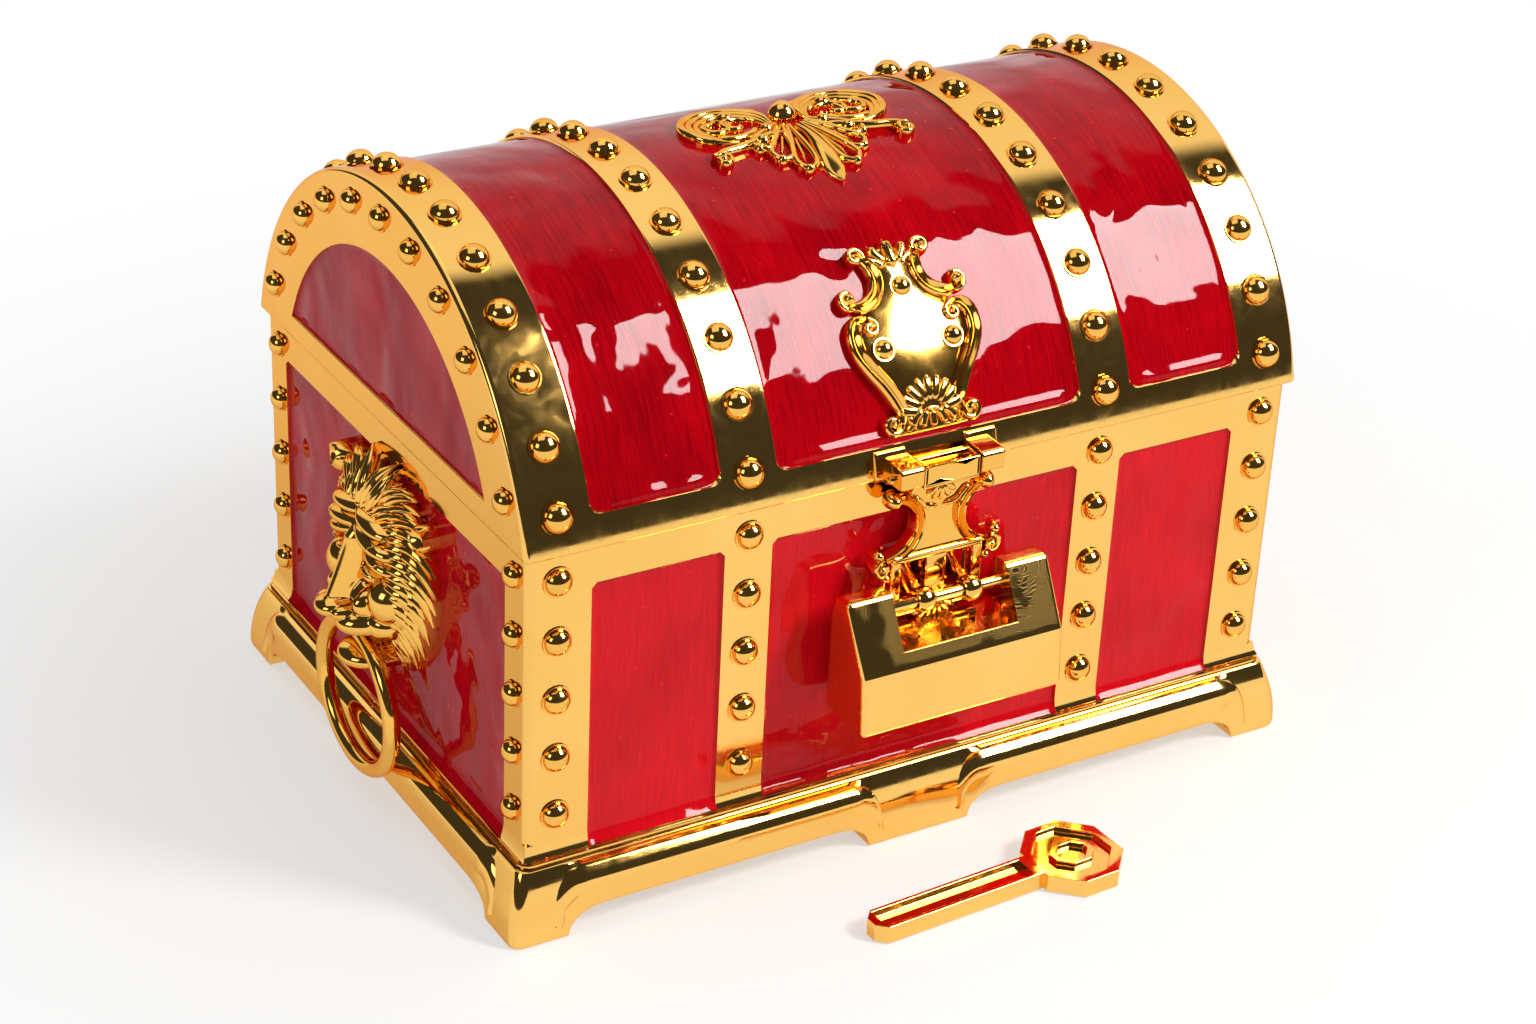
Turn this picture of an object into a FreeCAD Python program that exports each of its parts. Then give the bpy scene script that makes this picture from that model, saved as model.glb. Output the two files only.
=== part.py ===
"""Treasure chest box with a barrel lid, enamel panels, hasp and padlock, lion-mask ring pulls and a key.

Millimetres, +Z up, front towards -Y. The origin is on the table, under the middle of the chest.
"""
import FreeCAD, Part
import math
import os

V = FreeCAD.Vector

# Box: a moulded tub with raised bands, standing on the plinth
box_length = 220.0
box_depth = 152.6
box_height = 82.0
box_wall = 3.4
box_floor = 2.5
box_corner_radius = 2.5
corner_band_front = 16.7
corner_band_end = 11.7
top_rail = 9.5
strap_offset_share = 0.2323
strap_width = 13.1
cove_height = 3.6
cove_reach = 1.1
cove_mid_share = 0.38

# Enamel poured into recesses between the bands
recess_depth = 1.8
enamel_thickness = 0.8
panel_corner = 1.4
lid_panel_corner = 2.2

# Plinth: flared bracket-foot moulding, hollow underneath
plinth_height = 20.8
ledge_reach = 1.3
ledge_height = 1.7
flare_top_reach = 2.5
foot_reach = 6.6
arch_height = 6.9
corner_foot = 15.5
centre_foot = 30.0
arch_end_run = 10.0
plinth_wall = 4.5
plinth_deck = 3.0
plinth_corner = 2.0
roll_radius = 2.9
roll_reach = 3.5
roll_height = 14.0
roll_bend_radius = 9.5
roll_foot_height = 3.0
roll_foot_run = 2.6
roll_sides = 8
bend_steps = 3
flare_curve = 1.9
flare_steps = 4

# Lid: a barrel segment that overhangs the box a little
seam_gap = 0.4
lid_height = 63.13
lid_overhang_front = 1.9
lid_overhang_end = 1.5
lid_wall = 3.4
lid_edge_bevel = 1.4
lid_rim_rail = 8.2
lid_strap_shift = 0.4
lid_strap_width = 15.6
lid_end_strap = 18.0
lid_end_band = 19.0
lid_end_rail = 6.6
lid_end_steps = 21

# Dome rivets
rivet_radius = 3.25
rivet_height = 2.6
rivet_sides = 6
rivet_shoulder_radius_share = 0.74
rivet_shoulder_height_share = 0.66
rivet_row_count = 5
rivet_first_drop = 6.9
rivet_last_rise = 11.1
rivet_front_inset = 7.8
rivet_end_inset = 7.4
lid_strap_rivet_count = 13
lid_strap_rivet_rise = 9.2
lid_arch_rivet_count = 11
lid_arch_rivet_rise = 11.2
lid_arch_rivet_inset = 7.6

# Rear hinges
hinge_width = 27.0
hinge_knuckle_radius = 3.5
hinge_stand_off = 0.7
hinge_pin_radius = 1.5
hinge_pin_clearance = 0.05
hinge_side_gap = 0.3
hinge_leaf_height = 8.0
hinge_leaf_thickness = 1.6

# Hasp, its knuckles on the lid rim and its pin
hasp_axis_reach = 4.3
hasp_axis_rise = 2.3
hasp_knuckle_radius = 3.0
hasp_barrel_half = 8.0
hasp_side_gap = 0.3
hasp_knuckle_half = 16.5
hasp_pin_radius = 0.9
hasp_pin_clearance = 0.05
hasp_thickness = 2.2
hasp_end_drop = 10.1
hasp_neck_half = 5.5
hasp_neck_share = 0.425
hasp_upper_ball_half = 11.6
hasp_upper_ball_drop = 6.6
hasp_lower_ball_half = 15.4
hasp_lower_ball_rise = 8.9
hasp_ball_radius = 2.2
hasp_frame_half = 12.6
hasp_window_inner = 3.0
hasp_window_outer = 10.4
hasp_window_rise = 2.0
hasp_window_height = 13.0
hasp_end_radius = 7.0
hasp_trough_wall = 1.2

# Staple: a plate on the box front with two eye lugs
staple_half_width = 12.0
staple_height = 14.0
staple_thickness = 1.6
lug_offset = 6.8
lug_thickness = 2.6
lug_nose_radius = 3.0
lug_root_height = 8.4
lug_hole_clearance = 0.3

# Padlock: a prism with a notch across its top, hung on a bar through both lugs
padlock_half_width = 29.4
padlock_bottom_drop = 28.2
padlock_shoulder_drop = 12.2
padlock_top_rise = 4.6
padlock_front_reach = 21.6
padlock_shoulder_reach = 20.4
padlock_top_front_reach = 11.4
padlock_top_back_reach = 5.8
padlock_back_reach = 3.6
padlock_back_bevel = 6.0
padlock_edge_bevel = 0.7
notch_half_width = 16.8
notch_drop = 11.6
padlock_cover = 1.6
padlock_cover_margin = 3.0
bar_radius = 1.45
bar_clearance = 0.07
bar_reach = 10.4
bar_drop = 30.2
bar_blind = 5.0
keyway_clearance = 0.4
keyway_drop = 20.2
keyway_reach = 12.2
keyway_depth = 40.0

# Escutcheon on the lid front, drawn flat and pressed onto the barrel
escutcheon_foot_gap = 2.76
escutcheon_half_length = 22.8
escutcheon_half_width = 16.6
escutcheon_thickness = 2.6
escutcheon_neck_share = 0.42
escutcheon_neck_rise_share = 0.50
escutcheon_belly_rise_share = -0.04
escutcheon_waist_share = 0.46
escutcheon_waist_rise_share = -0.72
escutcheon_ball_radius = 3.0
escutcheon_top_ball_share = 0.50
escutcheon_top_ball_rise_share = 0.84
escutcheon_side_ball_share = 0.88
escutcheon_side_ball_rise_share = 0.40
escutcheon_foot_ball_share = 0.68
escutcheon_foot_ball_rise_share = -0.88
escutcheon_rivet_side = 9.9
escutcheon_rivet_drop = -3.1
escutcheon_rivet_rise = 11.0
escutcheon_rivet_radius = 2.6
escutcheon_rivet_height = 2.0

# Crest on the lid top, drawn flat and pressed onto the barrel
crest_thickness = 2.2
crest_ball_radius = 4.6
crest_ball_rise = 3.4
crest_petal_count = 7
crest_petal_length = 31.0
crest_petal_width = 4.4
crest_petal_spread_degrees = 118.0
crest_petal_side_share = 0.52
crest_scroll_offset = 17.6
crest_scroll_back = 1.2
crest_scroll_radius = 11.2
crest_scroll_width = 4.6
crest_tail_length = 29.0
crest_tail_width = 3.4
crest_tail_front = 13.0

# Lion mask on each end; the ring hangs through its mouth
mask_half_width = 28.0
mask_half_height_share = 0.3724
mask_centre_share = 0.6097
mask_lock_count = 18
mask_lock_depth_share = 0.09
mask_rim = 3.6
mask_face_depth = 12.5
mask_face_share = 0.60
mask_brow_share = 0.40
mask_mane_height_share = 0.55
muzzle_depth = 20.5
muzzle_half_width = 11.5
muzzle_top_drop_share = 0.111
muzzle_nose_share = 0.42
muzzle_nose_top_share = 0.55
muzzle_lip_gap = 0.8
chin_half_width = 8.0
chin_height = 6.1
chin_depth = 18.6
mouth_gap = 5.2
tongue_half_width = 3.2
tongue_gap = 3.0
ring_floor_gap = 7.2
ring_wire_radius = 2.0
ring_wire_sides = 8
ring_steps = 20
ring_clearance = 0.5
ring_hinge_drop_share = 0.637
ring_hinge_reach = 9.6

# Key lying on the table in front of the chest
key_thickness = 4.8
key_blade_length = 50.0
key_blade_width = 8.6
key_groove_width = 5.0
key_groove_depth = 2.8
key_groove_margin = 2.4
key_tip_chamfer = 2.6
key_bow_length = 24.0
key_bow_width = 26.0
key_bow_chamfer = 7.0
key_bow_rim = 2.2
key_bow_recess = 1.4
key_ring_length = 12.0
key_ring_width = 10.0
key_ring_chamfer = 3.4
key_ring_rim = 1.6
key_place_x = -36.0
key_place_reach = 40.5
key_turn_degrees = 3.0

# Small rounds are faceted, and the ornament folds over the barrel in strips
boss_sides = 10
knuckle_sides = 12
skin_step_degrees = 8.0
skin_steps = 8

# The lid's arch is drawn as two arcs through these shares of its angle; corners of a sweep are mitred
arch_shares = (-1, -0.5, 0, 0.5, 1)
mitred = True

# One overrun serves every cut; an edge counts as straight or of a length within this share
overrun = 1.0
straight_share = 1e-6

# Places that follow from the sizes
half_length = box_length / 2
half_depth = box_depth / 2
seam_z = plinth_height + box_height
rim_z = seam_z + seam_gap
lid_half_length = half_length + lid_overhang_end
lid_half_depth = half_depth + lid_overhang_front
lid_radius = (lid_height**2 + lid_half_depth**2) / (2 * lid_height)
lid_centre_z = rim_z + lid_height - lid_radius
lid_enamel_radius = lid_radius - recess_depth + enamel_thickness
enamel_y = -half_depth + recess_depth - enamel_thickness
enamel_x = -half_length + recess_depth - enamel_thickness
panel_top_z = seam_z - top_rail
panel_height = panel_top_z - plinth_height
strap_offset = box_length * strap_offset_share
lid_strap_offset = strap_offset + lid_strap_shift
rivet_column = half_length - rivet_front_inset
rivet_pitch = (box_height - rivet_first_drop - rivet_last_rise) / (rivet_row_count - 1)
hinge_offset = (strap_offset + rivet_column) / 2
hinge_y = lid_half_depth + hinge_stand_off + hinge_knuckle_radius
hinge_z = rim_z
hasp_y = -lid_half_depth - hasp_axis_reach
hasp_z = rim_z + hasp_axis_rise
bar_y = -half_depth - bar_reach
bar_z = seam_z - bar_drop
padlock_top = bar_z + padlock_top_rise
padlock_shoulder = bar_z - padlock_shoulder_drop
padlock_bottom = bar_z - padlock_bottom_drop
notch_floor = bar_z - notch_drop
keyway_z = bar_z - keyway_drop
window_middle = bar_z + hasp_window_rise
mask_half_height = panel_height * mask_half_height_share
mask_centre_z = plinth_height + panel_height * mask_centre_share
ring_x = -half_length - ring_hinge_reach
ring_z = mask_centre_z - mask_half_height * ring_hinge_drop_share
ring_radius = (ring_z - ring_floor_gap - ring_wire_radius) / 2
lip_z = ring_z + ring_wire_radius + muzzle_lip_gap
mouth_z = ring_z - mouth_gap


def at_x(x):
    """The YZ plane at x."""
    return lambda y, z: V(x, y, z)


def at_y(y):
    """The XZ plane at y."""
    return lambda x, z: V(x, y, z)


def at_z(z):
    """The XY plane at z."""
    return lambda x, y: V(x, y, z)


def outline(plane, start, *steps):
    """A closed face; a step is an end point, or a pair of a point passed on an arc and its end point."""
    edges = []
    last = start
    for step in steps + (start,):
        if isinstance(step[0], tuple):
            through, end = step
            edges.append(Part.Arc(plane(*last), plane(*through), plane(*end)).toShape())
        else:
            end = step
            if math.dist(last, end) > 0:
                edges.append(Part.LineSegment(plane(*last), plane(*end)).toShape())
        last = end
    return Part.Face(Part.Wire(edges))


def block(x0, x1, y0, y1, z0, z1):
    """A box between two corners."""
    return Part.makeBox(x1 - x0, y1 - y0, z1 - z0, V(x0, y0, z0))


def rod(radius, start, end):
    """A cylinder from one point to another."""
    return Part.makeCylinder(radius, (end - start).Length, start, end - start)


def flip_x(shape):
    """The same shape on the other side of the chest's middle plane."""
    return shape.mirror(V(0, 0, 0), V(1, 0, 0))


def flip_y(shape):
    """The same shape on the other face, front to back."""
    return shape.mirror(V(0, 0, 0), V(0, 1, 0))


def joined(shapes):
    """One solid from pieces of one moulding."""
    return shapes[0].fuse(shapes[1:]).removeSplitter()


def rounded(shape, radius, keep):
    """The shape with the edges that keep picks rounded."""
    edges = [edge for edge in shape.Edges if keep(edge)]
    return shape.makeFillet(radius, edges)


def bevelled(shape, size, keep):
    """The shape with the edges that keep picks cut off."""
    return shape.makeChamfer(size, [edge for edge in shape.Edges if keep(edge)])


def upright(edge):
    """Whether an edge runs along Z."""
    first, last = edge.Vertexes[0].Point, edge.Vertexes[-1].Point
    return abs(first.x - last.x) + abs(first.y - last.y) < edge.Length * straight_share


def facets(rings, capped=True):
    """A closed faceted solid through rings of as many points each; a ring of one point is a tip."""
    faces = []
    for low, high in zip(rings, rings[1:]):
        count = max(len(low), len(high))
        for i in range(count):
            j = (i + 1) % count
            if len(low) > 1:
                corner = high[i] if len(high) > 1 else high[0]
                faces.append((low[i], low[j], corner))
            if len(high) > 1:
                corner = low[j] if len(low) > 1 else low[0]
                faces.append((high[i], corner, high[j]))
    faces += [tuple(ring) for ring in (rings[0], rings[-1]) if capped and len(ring) > 1]
    shell = Part.makeShell([Part.Face(Part.makePolygon(list(f) + [f[0]])) for f in faces])
    solid = Part.makeSolid(shell)
    if solid.Volume < 0:
        solid.reverse()
    return solid


def ring_points(plane, count, radius_u, radius_v, centre_u=0, centre_v=0):
    """Corners of a regular polygon, stretched to two radii."""
    turns = [2 * math.pi * i / count for i in range(count)]
    return [plane(centre_u + radius_u * math.sin(t), centre_v + radius_v * math.cos(t)) for t in turns]


def boss(plane, u, v, radius, sweep):
    """A faceted round of the ornament, raised along a sweep."""
    corners = ring_points(plane, boss_sides, radius, radius, u, v)
    return Part.Face(Part.makePolygon(corners + [corners[0]])).extrude(sweep)


def knuckle(radius, low, high, y, z):
    """A faceted round along X."""
    corners = ring_points(at_x(low), knuckle_sides, radius, radius, y, z)
    return Part.Face(Part.makePolygon(corners + [corners[0]])).extrude(V(high - low, 0, 0))


def symmetric(plane, start, *steps):
    """A face mirrored about u = 0; start and the last step lie on that line."""
    points = [start] + [step[1] if isinstance(step[0], tuple) else step for step in steps]
    back = []
    for step, point in zip(reversed(steps), reversed(points[:-1])):
        target = (-point[0], point[1])
        if isinstance(step[0], tuple):
            back.append(((-step[0][0], step[0][1]), target))
        else:
            back.append(target)
    return outline(plane, start, *steps, *back[:-1])


def moulding(*steps):
    """A block with a moulded edge round the box, from steps of reach beyond its faces and height."""
    def profile(plane, half):
        path = [(half + reach, z) for reach, z in steps]
        return outline(plane, (0, path[0][1]), *path, (0, path[-1][1]))

    along = profile(at_x(0), half_depth).extrude(V(box_length, 0, 0))
    across = profile(at_y(0), half_length).extrude(V(0, box_depth, 0))
    corner = along.common(across)
    half = joined([corner, flip_x(corner)])
    return joined([half, flip_y(half)])


def quarter(run, rise):
    """Steps of a quarter round, from upright to level."""
    turns = [math.pi / 2 * i / bend_steps for i in range(bend_steps + 1)]
    return [(run * (1 - math.cos(t)), rise * math.sin(t)) for t in turns]


def foot_arch(plane, low, high):
    """The cut between two feet, curving down to the table at both ends."""
    bend = quarter(arch_end_run, arch_height)
    left = [(low + run, rise) for run, rise in bend]
    right = [(high - run, rise) for run, rise in reversed(bend)]
    return outline(plane, (low, -overrun), *left, *right, (high, -overrun))


def roll(plane, section_centre, low, high):
    """A round moulding along a rail that bends down onto the feet at both ends."""
    base = roll_height - roll_bend_radius
    bend = quarter(roll_bend_radius, roll_bend_radius)
    path = [plane(low, roll_foot_height)]
    path += [plane(low + run, base + rise) for run, rise in bend]
    path += [plane(high - run, base + rise) for run, rise in reversed(bend)]
    path.append(plane(high, roll_foot_height))
    corners = ring_points(at_z(roll_foot_height), roll_sides, roll_radius, roll_radius, *section_centre)
    section = Part.makePolygon(corners + [corners[0]])
    return Part.makePolygon(path).makePipeShell([section], True, False, mitred)


def plinth():
    """Flared base with ledge, bracket feet and rolls, hollow underneath."""
    flare_z = plinth_height - ledge_height
    climb = [i / flare_steps for i in range(flare_steps + 1)]
    spare = foot_reach - flare_top_reach
    flare = [(flare_top_reach + spare * (1 - t)**flare_curve, flare_z * t) for t in climb]
    body = moulding(*flare, (ledge_reach, flare_z), (ledge_reach, plinth_height))
    foot_x = half_length + foot_reach
    foot_y = half_depth + foot_reach
    envelope = block(-foot_x, foot_x, -foot_y, foot_y, 0, plinth_height)
    body = body.common(bevelled(envelope, plinth_corner, upright))

    inner = centre_foot / 2
    outer_x = foot_x - corner_foot
    outer_y = foot_y - corner_foot
    roll_y = half_depth + roll_reach
    roll_x = half_length + roll_reach
    low = inner - roll_foot_run
    front_roll = roll(at_y(-roll_y), (low, -roll_y), low, outer_x + roll_foot_run)
    end_low = -outer_y - roll_foot_run
    end_roll = roll(at_x(-roll_x), (-roll_x, end_low), end_low, -end_low)
    rolls = [front_roll, flip_x(front_roll), flip_y(front_roll), flip_y(flip_x(front_roll))]
    body = joined([body] + rolls + [end_roll, flip_x(end_roll)])

    far_x = foot_x + overrun
    far_y = foot_y + overrun
    front_arch = foot_arch(at_y(-far_y), inner, outer_x).extrude(V(0, 2 * far_y, 0))
    end_arch = foot_arch(at_x(-far_x), -outer_y, outer_y).extrude(V(2 * far_x, 0, 0))
    hollow_x = half_length + flare_top_reach - plinth_wall
    hollow_y = half_depth + flare_top_reach - plinth_wall
    hollow = block(-hollow_x, hollow_x, -hollow_y, hollow_y, -overrun, plinth_height - plinth_deck)
    return body.cut([front_arch, flip_x(front_arch), end_arch, hollow])


def front_bays():
    """The stretches of x between the bands of the front."""
    edge = half_length - corner_band_front
    strap_in = strap_offset - strap_width / 2
    strap_out = strap_offset + strap_width / 2
    return {"left": (-edge, -strap_out), "centre": (-strap_in, strap_in), "right": (strap_out, edge)}


def panel_face(plane, low, high):
    """A panel's outline: square at the plinth, its top corners cut off."""
    cut = panel_corner
    top = panel_top_z
    return outline(
        plane, (low, plinth_height), (high, plinth_height), (high, top - cut), (high - cut, top),
        (low + cut, top), (low, top - cut))


def cove_steps(face, out):
    """The hollow curve at the foot of a wall, from the ledge in to the wall."""
    mid = (face + (out - face) * cove_mid_share, plinth_height + cove_height * cove_mid_share)
    return (out, plinth_height), mid, (face, plinth_height + cove_height)


def front_panel(low, high):
    """One enamel panel of the front."""
    slab = panel_face(at_y(-half_depth + recess_depth), low, high).extrude(V(0, -enamel_thickness, 0))
    cove = outline(at_x(low), (enamel_y, plinth_height), *cove_steps(enamel_y, -half_depth - cove_reach))
    cove = cove.extrude(V(high - low, 0, 0))
    return joined([slab, cove])


def end_panel():
    """The enamel panel of the left end."""
    edge = half_depth - corner_band_end
    slab = panel_face(at_x(-half_length + recess_depth), -edge, edge).extrude(V(-enamel_thickness, 0, 0))
    cove = outline(at_y(-edge), (enamel_x, plinth_height), *cove_steps(enamel_x, -half_length - cove_reach))
    cove = cove.extrude(V(0, 2 * edge, 0))
    return joined([slab, cove])


def box_shell():
    """The tub, with a cove round its foot and recesses for the enamel."""
    outside = block(-half_length, half_length, -half_depth, half_depth, plinth_height, seam_z)
    outside = rounded(outside, box_corner_radius, upright)
    cove = moulding(*cove_steps(0, cove_reach))
    in_x = half_length - box_wall
    in_y = half_depth - box_wall
    inside = block(-in_x, in_x, -in_y, in_y, plinth_height + box_floor, seam_z + overrun)
    inside = rounded(inside, box_corner_radius, upright)
    reach = recess_depth + cove_reach + overrun
    cuts = [inside]
    for low, high in front_bays().values():
        recess = panel_face(at_y(-half_depth + recess_depth), low, high).extrude(V(0, -reach, 0))
        cuts += [recess, flip_y(recess)]
    edge = half_depth - corner_band_end
    recess = panel_face(at_x(-half_length + recess_depth), -edge, edge).extrude(V(-reach, 0, 0))
    return joined([outside, cove]).cut(cuts + [recess, flip_x(recess)])


def rivet(place, normal, radius=rivet_radius, height=rivet_height):
    """A dome seated at a place, facing along a normal."""
    shoulder = radius * rivet_shoulder_radius_share
    dome = facets([
        ring_points(at_z(0), rivet_sides, radius, radius),
        ring_points(at_z(height * rivet_shoulder_height_share), rivet_sides, shoulder, shoulder),
        [V(0, 0, height)]])
    dome.Placement = FreeCAD.Placement(place, FreeCAD.Rotation(V(0, 0, 1), normal))
    return dome


def rivet_heights():
    """The rows of rivets down the box."""
    return [seam_z - rivet_first_drop - row * rivet_pitch for row in range(rivet_row_count)]


def front_rivets():
    """Rivets on the corner bands and straps of the front."""
    columns = (-rivet_column, -strap_offset, strap_offset, rivet_column)
    return Part.makeCompound(
        [rivet(V(x, -half_depth, z), V(0, -1, 0)) for x in columns for z in rivet_heights()])


def end_rivets():
    """Rivets on the corner bands of the left end."""
    column = half_depth - rivet_end_inset
    return Part.makeCompound(
        [rivet(V(-half_length, y, z), V(-1, 0, 0)) for y in (-column, column) for z in rivet_heights()])


def lid_place(degrees, radius):
    """A point of the lid's arch, by the angle from the top towards the front."""
    turn = math.radians(degrees)
    return (-radius * math.sin(turn), lid_centre_z + radius * math.cos(turn))


def arch_side(rise, radius):
    """The angle from the top down to a height over the rim, on an arch of a radius."""
    return math.degrees(math.acos((rim_z + rise - lid_centre_z) / radius))


def lid_drum(radius):
    """The full round of the lid's barrel."""
    reach = lid_half_length + overrun
    return rod(radius, V(-reach, 0, lid_centre_z), V(reach, 0, lid_centre_z))


def lid_segment(radius, half, foot):
    """The part of a barrel above a height over the rim."""
    side = arch_side(foot, radius)
    back, back_mid, top, front_mid, front = [lid_place(side * share, radius) for share in arch_shares]
    face = outline(at_x(-half), back, (back_mid, top), (front_mid, front))
    return face.extrude(V(2 * half, 0, 0))


def lid_bays():
    """The stretches of x between the straps of the lid."""
    edge = lid_half_length - lid_end_strap
    strap_in = lid_strap_offset - lid_strap_width / 2
    strap_out = lid_strap_offset + lid_strap_width / 2
    return {"left": (-edge, -strap_out), "centre": (-strap_in, strap_in), "right": (strap_out, edge)}


def lid_sector(low, high, inner, outer):
    """A curved slab over the arch, down to the rim rail on both sides, with rounded corners."""
    side = arch_side(lid_rim_rail, lid_radius)
    face = outline(
        at_x(low), lid_place(side, inner), lid_place(side, outer),
        (lid_place(0, outer), lid_place(-side, outer)), lid_place(-side, inner),
        (lid_place(0, inner), lid_place(side, inner)))
    slab = face.extrude(V(high - low, 0, 0))
    return bevelled(slab, lid_panel_corner, lambda edge: near(edge.Length, outer - inner))


def near(length, target):
    """Whether two lengths agree."""
    return abs(length - target) < target * straight_share


def lid_panel(low, high):
    """One enamel panel over the lid's arch."""
    return lid_sector(low, high, lid_radius - recess_depth, lid_enamel_radius)


def lid_end_face(x):
    """The D of a lid end panel."""
    radius = lid_radius - lid_end_band
    angles = spread(lid_end_steps, arch_side(lid_end_rail, radius))
    return outline(at_x(x), *[lid_place(angle, radius) for angle in angles])


def lid_end_panel():
    """The enamel panel of the lid's left end."""
    return lid_end_face(-lid_half_length + recess_depth).extrude(V(-enamel_thickness, 0, 0))


def lid_shell():
    """The barrel lid, hollow, with recesses for the enamel."""
    outside = lid_segment(lid_radius, lid_half_length, 0)
    outside = bevelled(outside, lid_edge_bevel, lambda edge: edge.Curve.TypeId == "Part::GeomCircle")
    inside = lid_segment(lid_radius - lid_wall, lid_half_length - lid_wall, -overrun)
    cuts = [inside]
    for low, high in lid_bays().values():
        cuts.append(lid_sector(low, high, lid_radius - recess_depth, lid_radius + overrun))
    recess = lid_end_face(-lid_half_length + recess_depth).extrude(V(-recess_depth - overrun, 0, 0))
    return outside.cut(cuts + [recess, flip_x(recess)])


def spread(count, degrees):
    """Even angles from minus to plus a limit."""
    return [degrees * (2 * i / (count - 1) - 1) for i in range(count)]


def lid_rivets():
    """Rivets over the four straps of the lid."""
    domes = []
    for x in (-rivet_column, -lid_strap_offset, lid_strap_offset, rivet_column):
        for angle in spread(lid_strap_rivet_count, arch_side(lid_strap_rivet_rise, lid_radius)):
            y, z = lid_place(angle, lid_radius)
            domes.append(rivet(V(x, y, z), V(0, y, z - lid_centre_z)))
    return Part.makeCompound(domes)


def lid_end_rivets():
    """Rivets round the arch of the lid's left end."""
    domes = []
    radius = lid_radius - lid_arch_rivet_inset
    for angle in spread(lid_arch_rivet_count, arch_side(lid_arch_rivet_rise, radius)):
        y, z = lid_place(angle, radius)
        domes.append(rivet(V(-lid_half_length, y, z), V(-1, 0, 0)))
    return Part.makeCompound(domes)


def hinge_rod(radius, centre, half):
    """A round along a rear hinge's axis."""
    return rod(radius, V(centre - half, hinge_y, hinge_z), V(centre + half, hinge_y, hinge_z))


def hinge_thirds(centre):
    """The middles of a hinge's two box knuckles, and a knuckle's half width."""
    third = hinge_width / 3
    return (centre - third, centre + third), third / 2 - hinge_side_gap / 2


def box_knuckles(centre):
    """The two knuckles of a rear hinge that stand on the box."""
    middles, half = hinge_thirds(centre)
    foot = seam_z - hinge_leaf_height
    bore = hinge_rod(hinge_pin_radius + hinge_pin_clearance, centre, hinge_width)
    knuckles = []
    for middle in middles:
        leaf = outline(
            at_x(middle - half), (half_depth, foot), (half_depth + hinge_leaf_thickness, foot),
            (hinge_y, hinge_z - hinge_knuckle_radius), (hinge_y, hinge_z), (half_depth, seam_z - seam_gap))
        leaf = leaf.extrude(V(2 * half, 0, 0))
        barrel = knuckle(hinge_knuckle_radius, middle - half, middle + half, hinge_y, hinge_z)
        knuckles.append(joined([barrel, leaf]).cut(bore))
    return knuckles


def lid_knuckle(centre):
    """The middle knuckle of a rear hinge, with its tongue on the lid rim."""
    half = hinge_thirds(centre)[1]
    tongue = block(
        centre - half, centre + half, half_depth, hinge_y, rim_z, rim_z + hinge_knuckle_radius)
    bore = hinge_rod(hinge_pin_radius + hinge_pin_clearance, centre, hinge_width)
    barrel = knuckle(hinge_knuckle_radius, centre - half, centre + half, hinge_y, hinge_z)
    return joined([barrel, tongue]).cut([lid_drum(lid_radius), bore])


def hasp_rod(radius, low, high):
    """A round along the hasp's axis."""
    return rod(radius, V(low, hasp_y, hasp_z), V(high, hasp_y, hasp_z))


def hasp_knuckles():
    """The two fixed knuckles on the lid rim that carry the hasp pin."""
    r = hasp_knuckle_radius
    low = hasp_barrel_half + hasp_side_gap
    arm = block(low, hasp_knuckle_half, hasp_y, -half_depth, hasp_z - r, hasp_z + r)
    bore = hasp_rod(hasp_pin_radius + hasp_pin_clearance, -hasp_knuckle_half, hasp_knuckle_half)
    barrel = knuckle(r, low, hasp_knuckle_half, hasp_y, hasp_z)
    right = joined([barrel, arm]).cut([lid_drum(lid_radius), bore])
    return Part.makeCompound([right, flip_x(right)])


def hasp():
    """The swinging hasp: barrel, waisted neck with scrolls, and a frame with two windows."""
    r = hasp_knuckle_radius
    back = hasp_y + r
    front = back - hasp_thickness
    end = bar_z - hasp_end_drop
    shoulder = end + hasp_end_radius
    upper = (hasp_upper_ball_half, hasp_z - hasp_upper_ball_drop)
    lower = (hasp_lower_ball_half, bar_z + hasp_lower_ball_rise)
    neck = (hasp_neck_half, upper[1] + (lower[1] - upper[1]) * hasp_neck_share)
    plate = symmetric(
        at_y(front), (0, hasp_z), (hasp_barrel_half, hasp_z), (hasp_barrel_half, hasp_z - r), upper,
        (neck, lower), (hasp_frame_half, lower[1] - hasp_ball_radius),
        (hasp_frame_half, shoulder), (0, end))
    plate = plate.extrude(V(0, hasp_thickness, 0))
    balls = [boss(at_y(front), side * x, z, hasp_ball_radius, V(0, hasp_thickness, 0))
             for x, z in (upper, lower) for side in (-1, 1)]
    barrel = block(-hasp_barrel_half, hasp_barrel_half, hasp_y - r, back, hasp_z - r, hasp_z + r)
    wall = hasp_trough_wall
    trough = block(
        wall - hasp_barrel_half, hasp_barrel_half - wall, hasp_y - r + wall, back - wall,
        hasp_z + hasp_pin_radius + wall / 2, hasp_z + r + overrun)
    window = block(
        hasp_window_inner, hasp_window_outer, front - overrun, back + overrun,
        window_middle - hasp_window_height / 2, window_middle + hasp_window_height / 2)
    bore = hasp_rod(hasp_pin_radius + hasp_pin_clearance, -hasp_knuckle_half, hasp_knuckle_half)
    return joined([barrel, plate] + balls).cut([trough, window, flip_x(window), bore])


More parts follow.
